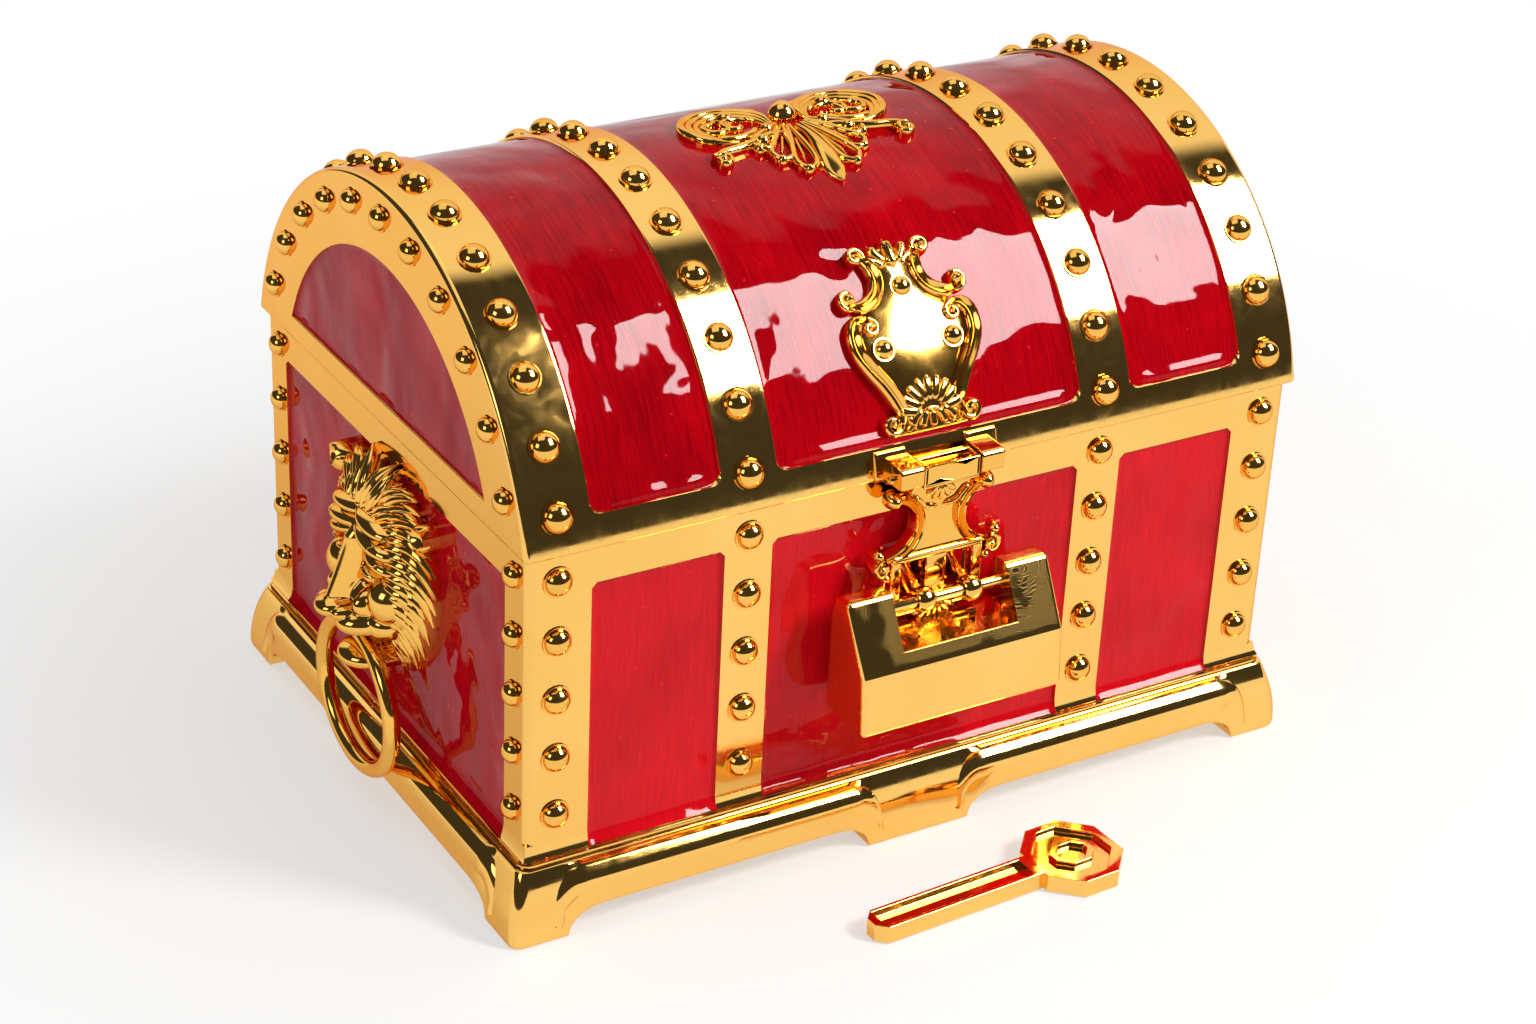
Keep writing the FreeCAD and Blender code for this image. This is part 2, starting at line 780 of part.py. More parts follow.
def staple():
    """A plate on the box front with two eye lugs for the lock bar."""
    face = enamel_y - staple_thickness
    plate = block(
        -staple_half_width, staple_half_width, face, enamel_y,
        window_middle - staple_height / 2, window_middle + staple_height / 2)
    low = lug_offset - lug_thickness / 2
    nose = lug_nose_radius
    high = low + lug_thickness
    root = lug_root_height / 2
    arm = outline(
        at_x(low), (face, window_middle - root), (bar_y, bar_z - nose), (bar_y, bar_z + nose),
        (face, window_middle + root)).extrude(V(lug_thickness, 0, 0))
    lug = joined([arm, knuckle(nose, low, high, bar_y, bar_z)])
    eye = rod(bar_radius + lug_hole_clearance, V(-staple_half_width, bar_y, bar_z),
              V(staple_half_width, bar_y, bar_z))
    return joined([plate, lug, flip_x(lug)]).cut(eye)


def padlock_cover_block(side):
    """The pocket, or with side 0 the plate, at the back of the padlock."""
    half = padlock_half_width - padlock_cover_margin
    back = -half_depth - padlock_back_reach
    return block(
        -half, half, back - padlock_cover, back + side, padlock_bottom + padlock_cover_margin,
        notch_floor - padlock_cover_margin)


def padlock_body():
    """The padlock's prism with its notch, bar bore, keyway and back pocket."""
    def y(reach):
        return -half_depth - reach

    profile = outline(
        at_x(-padlock_half_width), (y(padlock_back_reach), padlock_bottom),
        (y(padlock_front_reach), padlock_bottom), (y(padlock_shoulder_reach), padlock_shoulder),
        (y(padlock_top_front_reach), padlock_top), (y(padlock_top_back_reach), padlock_top),
        (y(padlock_back_reach), padlock_top - padlock_back_bevel))
    prism = profile.extrude(V(2 * padlock_half_width, 0, 0))
    prism = bevelled(prism, padlock_edge_bevel, lambda edge: near(edge.Length, 2 * padlock_half_width))
    notch = block(
        -notch_half_width, notch_half_width, y(padlock_front_reach + overrun), y(-overrun),
        notch_floor, padlock_top + overrun)
    bore = rod(bar_radius + bar_clearance, V(bar_blind - padlock_half_width, bar_y, bar_z),
               V(padlock_half_width + overrun, bar_y, bar_z))
    slot_y = key_thickness / 2 + keyway_clearance
    slot_z = key_blade_width / 2 + keyway_clearance
    keyway = block(
        padlock_half_width - keyway_depth, padlock_half_width + overrun,
        y(keyway_reach) - slot_y, y(keyway_reach) + slot_y, keyway_z - slot_z, keyway_z + slot_z)
    return prism.cut([notch, bore, keyway, padlock_cover_block(overrun)])


def lock_bar():
    """The bar that slides through the padlock's lugs and the staple's eyes."""
    return rod(bar_radius, V(bar_blind - padlock_half_width, bar_y, bar_z),
               V(padlock_half_width, bar_y, bar_z))


def lid_skin(middle, thickness):
    """A sheet folded over the lid's enamel in narrow strips, about an angle from the top."""
    half = math.radians(skin_step_degrees / 2)
    angles = [middle + skin_step_degrees * (i - skin_steps / 2) for i in range(skin_steps + 1)]
    inner = lid_enamel_radius / math.cos(half)
    low = [lid_place(angle, inner) for angle in angles]
    high = [lid_place(angle, inner + thickness) for angle in reversed(angles)]
    return outline(at_x(-half_length), *low, *high).extrude(V(box_length, 0, 0))


def lid_tangent(degrees):
    """A flat plane touching the lid's enamel, its u along X and its v up the arch, and its normal."""
    turn = math.radians(degrees)
    origin = V(0, *lid_place(degrees, lid_enamel_radius))
    up = V(0, math.cos(turn), math.sin(turn))
    normal = V(0, -math.sin(turn), math.cos(turn))
    return (lambda u, v: origin + V(u, 0, 0) + up * v), normal


def escutcheon_middle():
    """The angle from the top to the escutcheon's middle; its foot keeps a gap from the rim rail."""
    run = escutcheon_half_length + escutcheon_foot_gap
    return arch_side(lid_rim_rail, lid_radius) - math.degrees(run / lid_enamel_radius)


def escutcheon():
    """The vase-shaped plate on the lid front, with scroll ends."""
    middle = escutcheon_middle()
    plane, normal = lid_tangent(middle)
    w = escutcheon_half_width
    h = escutcheon_half_length
    foot = (w * escutcheon_foot_ball_share, h * escutcheon_foot_ball_rise_share)
    side = (w * escutcheon_side_ball_share, h * escutcheon_side_ball_rise_share)
    crown = (w * escutcheon_top_ball_share, h * escutcheon_top_ball_rise_share)
    plate = symmetric(
        plane, (0, -h), (foot[0], -h), foot,
        (w * escutcheon_waist_share, h * escutcheon_waist_rise_share), (w, h * escutcheon_belly_rise_share),
        side, ((w * escutcheon_neck_share, h * escutcheon_neck_rise_share), crown), (0, h))
    sweep = normal * h
    stack = [plate.extrude(sweep)]
    for u, v in (foot, side, crown):
        for s in (-1, 1):
            stack.append(boss(plane, s * u, v, escutcheon_ball_radius, sweep))
    stack = joined(stack)
    stack.translate(normal * (-h / 2))
    return stack.common(lid_skin(middle, escutcheon_thickness))


def escutcheon_rivets():
    """Three domes on the escutcheon."""
    spots = [(0, escutcheon_rivet_rise), (-escutcheon_rivet_side, escutcheon_rivet_drop),
             (escutcheon_rivet_side, escutcheon_rivet_drop)]
    domes = []
    radius = lid_enamel_radius + escutcheon_thickness
    for u, v in spots:
        y, z = lid_place(escutcheon_middle() - math.degrees(v / radius), radius)
        domes.append(rivet(V(u, y, z), V(0, y, z - lid_centre_z), escutcheon_rivet_radius,
                           escutcheon_rivet_height))
    return Part.makeCompound(domes).cut(escutcheon())


def crest():
    """The openwork ornament on the lid top: palmette, scroll wings, tails and a boss."""
    base = at_z(lid_centre_z)
    rise = V(0, 0, lid_radius + crest_thickness)
    up = V(0, 0, 1)
    stack = [boss(base, 0, 0, crest_ball_radius, rise)]
    limit = crest_petal_spread_degrees / 2
    for angle in spread(crest_petal_count, limit):
        length = crest_petal_length * (1 - (1 - crest_petal_side_share) * abs(angle) / limit)
        half = crest_petal_width / 2
        petal = outline(
            base, (-half / 2, 0), (half / 2, 0), (half, half - length), (0, -length),
            (-half, half - length))
        stack.append(petal.extrude(rise).rotated(V(0, 0, 0), up, angle))
    centre = (crest_scroll_offset, crest_scroll_back)
    scroll = boss(base, *centre, crest_scroll_radius, rise)
    scroll = scroll.cut(boss(base, *centre, crest_scroll_radius - crest_scroll_width, rise))
    eye = boss(base, *centre, crest_ball_radius / 2, rise)
    half = crest_tail_width / 2
    tail = outline(
        base, (crest_ball_radius / 2, -half), (crest_tail_length, -crest_tail_front - half),
        (crest_tail_length + half, -crest_tail_front), (crest_tail_length, half - crest_tail_front),
        (crest_ball_radius / 2, half)).extrude(rise)
    bridge = block(
        crest_ball_radius / 2, crest_scroll_offset, crest_scroll_back - half, crest_scroll_back + half,
        lid_centre_z, lid_centre_z + rise.z)
    wing = [scroll, eye, tail, bridge]
    sheet = joined(stack + wing + [flip_x(piece) for piece in wing]).common(lid_skin(0, crest_thickness))
    top = lid_centre_z + lid_enamel_radius + crest_thickness
    ball = rivet(V(0, 0, top - crest_ball_rise / 2), up, crest_ball_radius, crest_ball_rise)
    return joined([sheet, ball])


def mask_ring(reach, share, drop=0):
    """A jagged ring of mane locks at a reach from the end panel."""
    points = []
    count = 2 * mask_lock_count
    for i in range(count):
        turn = 2 * math.pi * i / count
        size = share * (1 - mask_lock_depth_share * (i % 2))
        points.append(V(enamel_x - reach, mask_half_width * size * math.sin(turn),
                        mask_centre_z - drop + mask_half_height * size * math.cos(turn)))
    return points


def lion_mask():
    """The lion's head of the left end, with the ring's channel through its mouth."""
    head = facets([
        mask_ring(0, 1), mask_ring(mask_rim, 1),
        mask_ring(mask_rim + (mask_face_depth - mask_rim) * mask_mane_height_share, mask_face_share),
        mask_ring(mask_face_depth, mask_brow_share)])

    def rect(reach, half, low, high):
        x = enamel_x - reach
        return [V(x, -half, low), V(x, half, low), V(x, half, high), V(x, -half, high)]

    muzzle_top = mask_centre_z - mask_half_height * muzzle_top_drop_share
    nose_top = lip_z + (muzzle_top - lip_z) * muzzle_nose_top_share
    muzzle = facets([
        rect(mask_rim, muzzle_half_width, lip_z, muzzle_top),
        rect(muzzle_depth, muzzle_half_width * muzzle_nose_share, lip_z, nose_top)])
    chin = facets([
        rect(mask_rim, chin_half_width, mouth_z - chin_height, mouth_z),
        rect(chin_depth, tongue_half_width, mouth_z - chin_height / 2, mouth_z)])
    tongue = block(
        enamel_x - chin_depth, ring_x - tongue_gap, -tongue_half_width, tongue_half_width, mouth_z, lip_z)
    channel = rod(ring_wire_radius + ring_clearance, V(ring_x, -mask_half_width, ring_z),
                  V(ring_x, mask_half_width, ring_z))
    return joined([head, muzzle, chin, tongue]).cut(channel)


def pull_ring():
    """The ring that hangs in the left lion's mouth."""
    corners = ring_points(
        at_y(0), ring_wire_sides, ring_wire_radius, ring_wire_radius, ring_x, ring_z)
    centre = V(ring_x, 0, ring_z - ring_radius)
    step = 360 / ring_steps
    turns = [FreeCAD.Rotation(V(1, 0, 0), step * i) for i in range(ring_steps + 1)]
    rings = [[centre + turn.multVec(corner - centre) for corner in corners] for turn in turns]
    return facets(rings, False)


def chamfered(plane, low, high, half, chamfer):
    """An oblong with its four corners cut off."""
    return outline(
        plane, (low + chamfer, -half), (high - chamfer, -half), (high, chamfer - half),
        (high, half - chamfer), (high - chamfer, half), (low + chamfer, half), (low, half - chamfer),
        (low, chamfer - half))


def key():
    """A flat key: grooved blade, faceted bow with a recess and a raised ring."""
    table = at_z(0)
    top = at_z(key_thickness)
    half = key_blade_width / 2
    blade = outline(
        table, (key_tip_chamfer, -half), (key_blade_length + key_bow_chamfer, -half),
        (key_blade_length + key_bow_chamfer, half), (key_tip_chamfer, half), (0, half - key_tip_chamfer),
        (0, key_tip_chamfer - half)).extrude(V(0, 0, key_thickness))
    bow_end = key_blade_length + key_bow_length
    bow = chamfered(table, key_blade_length, bow_end, key_bow_width / 2, key_bow_chamfer)
    bow = bow.extrude(V(0, 0, key_thickness))
    groove = block(
        key_groove_margin, key_blade_length - key_groove_margin, -key_groove_width / 2,
        key_groove_width / 2, key_thickness - key_groove_depth, key_thickness + overrun)
    recess = chamfered(
        top, key_blade_length + key_bow_rim, bow_end - key_bow_rim, key_bow_width / 2 - key_bow_rim,
        key_bow_chamfer).extrude(V(0, 0, -key_bow_recess))
    middle = (key_blade_length + bow_end) / 2
    low = middle - key_ring_length / 2
    high = middle + key_ring_length / 2
    ring = chamfered(top, low, high, key_ring_width / 2, key_ring_chamfer)
    hole = chamfered(top, low + key_ring_rim, high - key_ring_rim, key_ring_width / 2 - key_ring_rim,
                     key_ring_chamfer - key_ring_rim / 2)
    ring = ring.extrude(V(0, 0, -key_bow_recess)).cut(hole.extrude(V(0, 0, -key_bow_recess)))
    whole = joined([joined([blade, bow]).cut([groove, recess]), ring])
    whole.rotate(V(0, 0, 0), V(0, 0, 1), key_turn_degrees)
    whole.translate(V(key_place_x, -half_depth - key_place_reach, 0))
    return whole


def build():
    """Every node by name."""
    nodes = {"plinth": plinth(), "box_shell": box_shell()}
    for side, (low, high) in front_bays().items():
        panel = front_panel(low, high)
        nodes["front_panel_" + side] = panel
        nodes["back_panel_" + side] = flip_y(panel)
    for side, (low, high) in lid_bays().items():
        nodes["lid_panel_" + side] = lid_panel(low, high)
    pairs = {
        "end_panel": end_panel(), "end_rivets": end_rivets(), "lid_end_panel": lid_end_panel(),
        "lid_end_rivets": lid_end_rivets(), "lion_mask": lion_mask(), "pull_ring": pull_ring()}
    for name, shape in pairs.items():
        nodes[name + "_left"] = shape
        nodes[name + "_right"] = flip_x(shape)
    sides = (-hinge_offset, hinge_offset)
    nodes["box_hinge_knuckles"] = Part.makeCompound([k for x in sides for k in box_knuckles(x)])
    nodes["lid_hinge_knuckles"] = Part.makeCompound([lid_knuckle(x) for x in sides])
    pins = [hinge_rod(hinge_pin_radius, x, hinge_width / 2) for x in sides]
    nodes["hinge_pins"] = Part.makeCompound(pins)
    nodes["front_rivets"] = front_rivets()
    nodes["back_rivets"] = flip_y(nodes["front_rivets"])
    nodes["lid_shell"] = lid_shell()
    nodes["lid_rivets"] = lid_rivets()
    nodes["crest"] = crest()
    nodes["escutcheon"] = escutcheon()
    nodes["escutcheon_rivets"] = escutcheon_rivets()
    nodes["hasp_knuckles"] = hasp_knuckles()
    nodes["hasp_pin"] = hasp_rod(hasp_pin_radius, -hasp_knuckle_half, hasp_knuckle_half)
    nodes["hasp"] = hasp()
    nodes["staple"] = staple()
    nodes["padlock_body"] = padlock_body()
    nodes["padlock_cover"] = padlock_cover_block(0)
    nodes["lock_bar"] = lock_bar()
    nodes["key"] = key()
    return nodes


os.makedirs("parts", exist_ok=True)
for name, shape in build().items():
    shape.exportStep(os.path.join("parts", name + ".step"))
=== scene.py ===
"""Treasure chest box: gold-plated bands, red enamel panels and cast gilt ornament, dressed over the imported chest.

Lengths are in millimetres until a mesh is made. +Z is up, and the front looks towards -Y.
"""

import math

import bmesh
import bpy
import numpy as np
from mathutils import Matrix, Vector

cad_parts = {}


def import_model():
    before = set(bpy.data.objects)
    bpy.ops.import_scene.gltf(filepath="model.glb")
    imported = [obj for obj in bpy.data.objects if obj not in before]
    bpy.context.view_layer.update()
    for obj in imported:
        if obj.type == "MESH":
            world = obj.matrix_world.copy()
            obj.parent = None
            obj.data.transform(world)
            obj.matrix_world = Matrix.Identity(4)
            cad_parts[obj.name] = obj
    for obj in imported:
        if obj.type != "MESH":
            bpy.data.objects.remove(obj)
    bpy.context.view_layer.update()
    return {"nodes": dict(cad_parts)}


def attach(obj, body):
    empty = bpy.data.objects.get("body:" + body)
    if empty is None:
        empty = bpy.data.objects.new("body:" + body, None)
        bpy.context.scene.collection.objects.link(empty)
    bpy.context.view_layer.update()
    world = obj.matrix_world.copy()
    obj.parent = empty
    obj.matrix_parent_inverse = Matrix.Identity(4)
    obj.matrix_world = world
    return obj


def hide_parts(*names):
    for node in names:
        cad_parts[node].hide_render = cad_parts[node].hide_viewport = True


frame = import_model()

# Box and plinth
half_length = 110.0
half_depth = 76.3
plinth_top = 20.8
seam = 102.8
panel_top = 93.3
recess = 1.8
enamel = 0.8
sheet_back = 0.75
strap_offset = 51.106
strap_half = 6.55
corner_band_front = 16.7
corner_band_end = 11.7
# Rails of the plinth between its feet
front_rail = (15.0, 101.1)
end_rail = (-67.4, 67.4)
rail_bend = 10.0
arch_height = 6.9
roll_height = 12.7
# Lid
rim = 103.2
lid_rise = 63.13
lid_half = 111.5
lid_depth = 78.2
lid_radius = (lid_rise**2 + lid_depth**2) / (2 * lid_rise)
lid_centre = rim + lid_rise - lid_radius
lid_enamel = lid_radius - recess + enamel
lid_strap_offset = 51.506
lid_strap_half = 7.8
lid_wall = 3.4
lid_edge = 1.4
lid_end_radius = 61.0
lid_end_chord = 109.8


def turn_at(z, radius):
    """The angle from the top at which an arch of the lid has a height."""
    return np.arccos((z - lid_centre) / radius)


def arc(turn, radius):
    """(y, z) on an arch of the lid, at an angle from the top towards the front."""
    return -radius * np.sin(turn), lid_centre + radius * np.cos(turn)


rim_angle = turn_at(rim, lid_radius)
rail_angle = turn_at(rim + 8.2, lid_radius)
# Ornament
escutcheon_angle = rail_angle - (22.8 + 2.76) / lid_enamel
ring_reach = 9.6
ring_height = 47.805
ring_radius = 19.3
mask_height = 65.0
bar_y = -86.7
bar_z = 72.6
key_place = complex(-36.0, -116.8)
key_turn = math.radians(3)


# Meshes: a shape is a pair of points in millimetres and faces

def ease(low, high, value):
    """0 at low, 1 at high, eased between; low may be the greater."""
    t = np.clip((np.asarray(value, float) - low) / (high - low), 0, 1)
    return t * t * (3 - 2 * t)


def merge(*shapes):
    """Several shapes as one."""
    points, faces, start = [], [], 0
    for some, sides in shapes:
        points.append(np.asarray(some, float).reshape(-1, 3))
        faces += [tuple(i + start for i in side) for side in sides]
        start += len(points[-1])
    return np.concatenate(points), faces


def fan(ring, middle):
    """A ring filled in from a point in its middle."""
    count = len(ring)
    return np.vstack([ring, [middle]]), [(j, (j + 1) % count, count) for j in range(count)]


def loft(rows, around=True, caps=True):
    """A skin over rows of as many points each, closed around and over both ends unless told otherwise."""
    rows = np.asarray(rows, float)
    n, m = rows.shape[:2]
    points = rows.reshape(-1, 3)
    faces = [(i * m + j, i * m + (j + 1) % m, (i + 1) * m + (j + 1) % m, (i + 1) * m + j)
             for i in range(n - 1) for j in range(m if around else m - 1)]
    for i, way in ((0, -1), (n - 1, 1)) if caps else ():
        points = np.vstack([points, rows[i].mean(axis=0)])
        faces += [(i * m + j, i * m + (j + 1) % m, len(points) - 1)[::way] for j in range(m)]
    return points, faces


def circle(count):
    """Angles right round, evenly spaced."""
    return np.linspace(0, 2 * math.pi, count, endpoint=False)


def ball(centre, radii, rings, sides):
    """A closed rounded lump with three radii."""
    return loft([[(centre[0] + radii[0] * math.sin(t) * math.cos(a),
                   centre[1] + radii[1] * math.sin(t) * math.sin(a),
                   centre[2] + radii[2] * math.cos(t)) for a in circle(sides)]
                 for t in math.pi * np.linspace(0.02, 0.98, rings + 1)])


def slab(u0, u1, v0, v1, w0, w1, edge=0.4):
    """A flat bar in (u, v, w), its upper edges rounded over."""
    rows = []
    for w, inset in [(w0, 0)] + [(w1 - edge + edge * math.sin(t * math.pi / 2), edge * (1 - math.cos(t * math.pi / 2)))
                                 for t in (0, 0.25, 0.5, 0.75, 1)]:
        row = []
        for cu, cv, start in ((u1, v1, 0), (u0, v1, 1), (u0, v0, 2), (u1, v0, 3)):
            mid_u = cu - math.copysign(edge + inset, cu - (u0 + u1) / 2)
            mid_v = cv - math.copysign(edge + inset, cv - (v0 + v1) / 2)
            for t in (0, 0.5, 1):
                a = (start + t) * math.pi / 2
                row.append((mid_u + edge * math.cos(a), mid_v + edge * math.sin(a), w))
        rows.append(row)
    return loft(rows)


def headings(path):
    """Directions along a path."""
    ahead = np.gradient(path, axis=0)
    return ahead / np.linalg.norm(ahead, axis=1)[:, None]


def sweep(path, radii, sides=28):
    """A round along a path in (u, v, w), with a radius at each point."""
    ahead = headings(path)
    side = np.cross(ahead, (0, 0, 1))
    side /= np.linalg.norm(side, axis=1)[:, None]
    turns = circle(sides)[:, None]
    return loft([p + r * (np.cos(turns) * s + np.sin(turns) * rise)
                 for p, r, s, rise in zip(path, radii, side, np.cross(side, ahead))])


def curve(points, count):
    """A smooth line through points."""
    points = np.asarray(points, float)
    knots = np.concatenate([[0], np.cumsum(np.linalg.norm(np.diff(points, axis=0), axis=1)**0.5)])
    ends = [2 * points[0] - points[1], *points, 2 * points[-1] - points[-2]]
    out = []
    for t in np.linspace(0, knots[-1], count):
        i = min(max(np.searchsorted(knots, t, "right") - 1, 0), len(points) - 2)
        f = (t - knots[i]) / (knots[i + 1] - knots[i])
        a, b, c, d = ends[i:i + 4]
        out.append(0.5 * (2 * b + (c - a) * f + (2 * a - 5 * b + 4 * c - d) * f * f
                          + (3 * b - a - 3 * c + d) * f**3))
    return np.array(out)


def even(half):
    """A section from its left half, up to its middle point."""
    return half + [(-a, h) for a, h in half[-2::-1]]


bead_section = even([(-1, 0), (-0.97, 0.35), (-0.82, 0.72), (-0.6, 0.94), (-0.3, 1), (0, 1.02)])
twin_section = even([(-1, 0), (-0.97, 0.5), (-0.8, 0.9), (-0.6, 1), (-0.38, 0.86), (-0.2, 0.62), (0, 0.54)])
strand_section = even([(-1, 0), (-0.9, 0.5), (-0.68, 0.74), (-0.44, 0.6), (-0.2, 0.92), (0, 1)])
plate_section = even([(-1, -1.2), (-1, 0.3), (-0.985, 0.75), (-0.95, 1), (-0.75, 1), (-0.5, 1), (-0.25, 1), (0, 1)])
eye_section = even([(-2.3, 1.75), (-2.5, 2.3), (-2.1, 2.85), (-1.2, 3.2), (0, 3.35)])


def ridge(path, half, height, section=bead_section, taper=(0.25, 0.25), base=0.0, root=0.9):
    """A raised line of the ornament in (u, v, w), rooted in what it stands on; taper thins its two ends to a share."""
    path = np.asarray(path, float)
    out = headings(path) @ ((0, 1), (-1, 0))
    place = np.linspace(0, 1, len(path))
    half, height, base = (np.broadcast_to(given, len(path)) for given in (half, height, base))
    thin = np.minimum(taper[0] + (1 - taper[0]) * ease(0, 0.2, place),
                      taper[1] + (1 - taper[1]) * ease(1, 0.8, place))
    rows = []
    for p, n, t, wide, high, foot in zip(path, out, thin, half, height, base):
        top = [(*(p + n * a * wide * t), foot + h * high * (0.4 + 0.6 * t)) for a, h in section]
        under = [(*(p + n * a * wide * t), foot - root) for a, h in reversed(section[::5] + section[-1:])]
        rows.append(top + under)
    return loft(rows)


def line(points, count, half, height, section=bead_section, taper=(0.25, 0.25)):
    """A ridge along a smooth line through points."""
    return ridge(curve(points, count), half, height, section, taper)


def volute(centre, start, end, turns, toward, half, height, taper=(0.8, 0.9)):
    """A ridge along a scroll from a start radius in to an end radius; toward is the first point's angle."""
    t = np.linspace(0, 1, 36)
    radius = start + (end - start) * t**0.8
    angle = toward + turns * 2 * math.pi * t
    path = np.stack([centre[0] + radius * np.cos(angle), centre[1] + radius * np.sin(angle)], axis=1)
    return ridge(path, half, height, taper=taper)


def dome(u, v, radius, height, base=0.0):
    """A round boss in (u, v, w), flat where it is rooted."""
    points, faces = ball((u, v, base), (radius, radius, height), 8, 16)
    points[:, 2] = np.maximum(points[:, 2], base - 0.9)
    return points, faces


def mirrored(shape):
    """The same shape on the other side of x = 0, or of u = 0."""
    return np.asarray(shape[0]) * (-1, 1, 1), shape[1]


def both(*parts):
    """Shapes and their mirror images as one."""
    return merge(*parts, *(mirrored(part) for part in parts))


def on_lid(shape, angle):
    """(u, v up the arch, w out) laid on the lid's enamel about an angle from the top towards the front."""
    u, v, w = np.asarray(shape[0]).T
    return np.column_stack([u, *arc(angle - v / lid_enamel, lid_enamel + w)]), shape[1]


def on_wall(shape, side, level):
    """(u, v, w out) set on an upright plane that looks to a side, so far from the middle."""
    u, v, w = np.asarray(shape[0]).T
    out = level + w
    x, y = {"front": (u, -out), "back": (u, out), "left": (-out, u)}[side]
    return np.column_stack([x, y, v]), shape[1]


def crisp(mesh, degrees):
    """Smooth shading that keeps edges sharper than an angle."""
    mesh.shade_smooth()
    mesh.set_sharp_from_angle(angle=math.radians(degrees))


def placed(name, data):
    """A new object in the scene."""
    thing = bpy.data.objects.new(name, data)
    bpy.context.scene.collection.objects.link(thing)
    return thing


def settle(thing):
    """Replaces an object's mesh by what its modifiers make of it."""
    bpy.context.view_layer.update()
    ready = thing.evaluated_get(bpy.context.evaluated_depsgraph_get())
    mesh = bpy.data.meshes.new_from_object(ready)
    thing.modifiers.clear()
    thing.data = mesh


def hang(thing, body, nodes):
    """Hangs a piece on its body in place of CAD nodes."""
    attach(thing, body)
    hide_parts(*nodes)


def dress(name, mesh, finish, body, nodes, degrees, flats):
    """Makes a piece of a mesh: its finish, its shading, with wide faces kept flat if told so, and its body."""
    thing = placed(name, mesh)
    mesh.materials.clear()
    mesh.materials.append(finish)
    crisp(mesh, degrees)
    if flats:
        thing.modifiers.new("flat faces", "WEIGHTED_NORMAL").keep_sharp = True
        settle(thing)
    hang(thing, body, nodes)


def sharp(work, degrees):
    """The edges of a bmesh that turn by more than an angle."""
    return [e for e in work.edges if len(e.link_faces) == 2 and e.calc_face_angle() > math.radians(degrees)]


def round_over(work, edges, width, segments):
    """Rounds edges of a bmesh over by a width in millimetres."""
    bmesh.ops.bevel(work, geom=edges, offset=width * 0.001, segments=segments, profile=0.5, affect="EDGES",
                    clamp_overlap=True)


def flatten(work):
    """Joins the faces of a bmesh that lie in one plane."""
    bmesh.ops.dissolve_limit(work, angle_limit=math.radians(1), verts=work.verts, edges=work.edges)


def mesh_of(name, shape, refine=None):
    """A mesh from a shape, closed and facing outwards, then worked on by refine."""
    mesh = bpy.data.meshes.new(name)
    mesh.from_pydata([tuple(p) for p in np.asarray(shape[0]) * 0.001], [], shape[1])
    work = bmesh.new()
    work.from_mesh(mesh)
    bmesh.ops.remove_doubles(work, verts=work.verts, dist=1e-6)
    bmesh.ops.recalc_face_normals(work, faces=work.faces)
    if refine:
        refine(work)
    work.to_mesh(mesh)
    work.free()
    return mesh


def piece(name, shape, finish, body, nodes, degrees=40, flats=False, refine=None):
    """A piece from a shape in millimetres."""
    dress(name, mesh_of(name, shape, refine), finish, body, nodes, degrees, flats)


def pair(name, shape, finish, body, node_name, degrees=40):
    """A piece on the left and its mirror image on the right, with the side filled in to the names."""
    for side, part in (("left", shape), ("right", mirrored(shape))):
        piece(name.format(side), part, finish, body.format(side), [node_name.format(side)], degrees)


def softened(name, node_name, width, finish, body, segments=2, given=None, moved=None):
    """A CAD node, or a mesh in its place, with its sharp edges rounded over, as polishing leaves them."""
    work = bmesh.new()
    work.from_mesh(given or frame["nodes"][node_name].data)
    for vert in work.verts if moved else ():
        vert.co = Vector(moved(*(vert.co * 1000))) / 1000
    bmesh.ops.remove_doubles(work, verts=work.verts, dist=2e-6)
    flatten(work)
    round_over(work, [e for e in sharp(work, 38) if not given or e.calc_length() > 0.001], width, segments)
    mesh = bpy.data.meshes.new(name)
    work.to_mesh(mesh)
    work.free()
    dress(name, mesh, finish, body, [node_name], 21 if given else 50, True)


# Finishes

def linear(code):
    """An sRGB hex colour as linear red, green, blue and alpha."""
    parts = [int(code[i:i + 2], 16) / 255 for i in (1, 3, 5)]
    return [p / 12.92 if p <= 0.04045 else ((p + 0.055) / 1.055)**2.4 for p in parts] + [1]


def node(tree, kind, inputs=None, **settings):
    """Adds a node with its settings; an input is a value, a socket, or a node for its first output in use."""
    made = tree.nodes.new(kind)
    for name, value in settings.items():
        setattr(made, name, value)
    for name, value in (inputs or {}).items():
        if isinstance(value, bpy.types.Node):
            value = next(socket for socket in value.outputs if socket.enabled)
        if isinstance(value, bpy.types.NodeSocket):
            tree.links.new(value, made.inputs[name])
        else:
            made.inputs[name].default_value = value
    return made


def blank(name):
    """A new material, its empty tree and its Object coordinates."""
    made = bpy.data.materials.new(name)
    made.use_nodes = True
    made.node_tree.nodes.clear()
    return made, made.node_tree, node(made.node_tree, "ShaderNodeTexCoord").outputs["Object"]


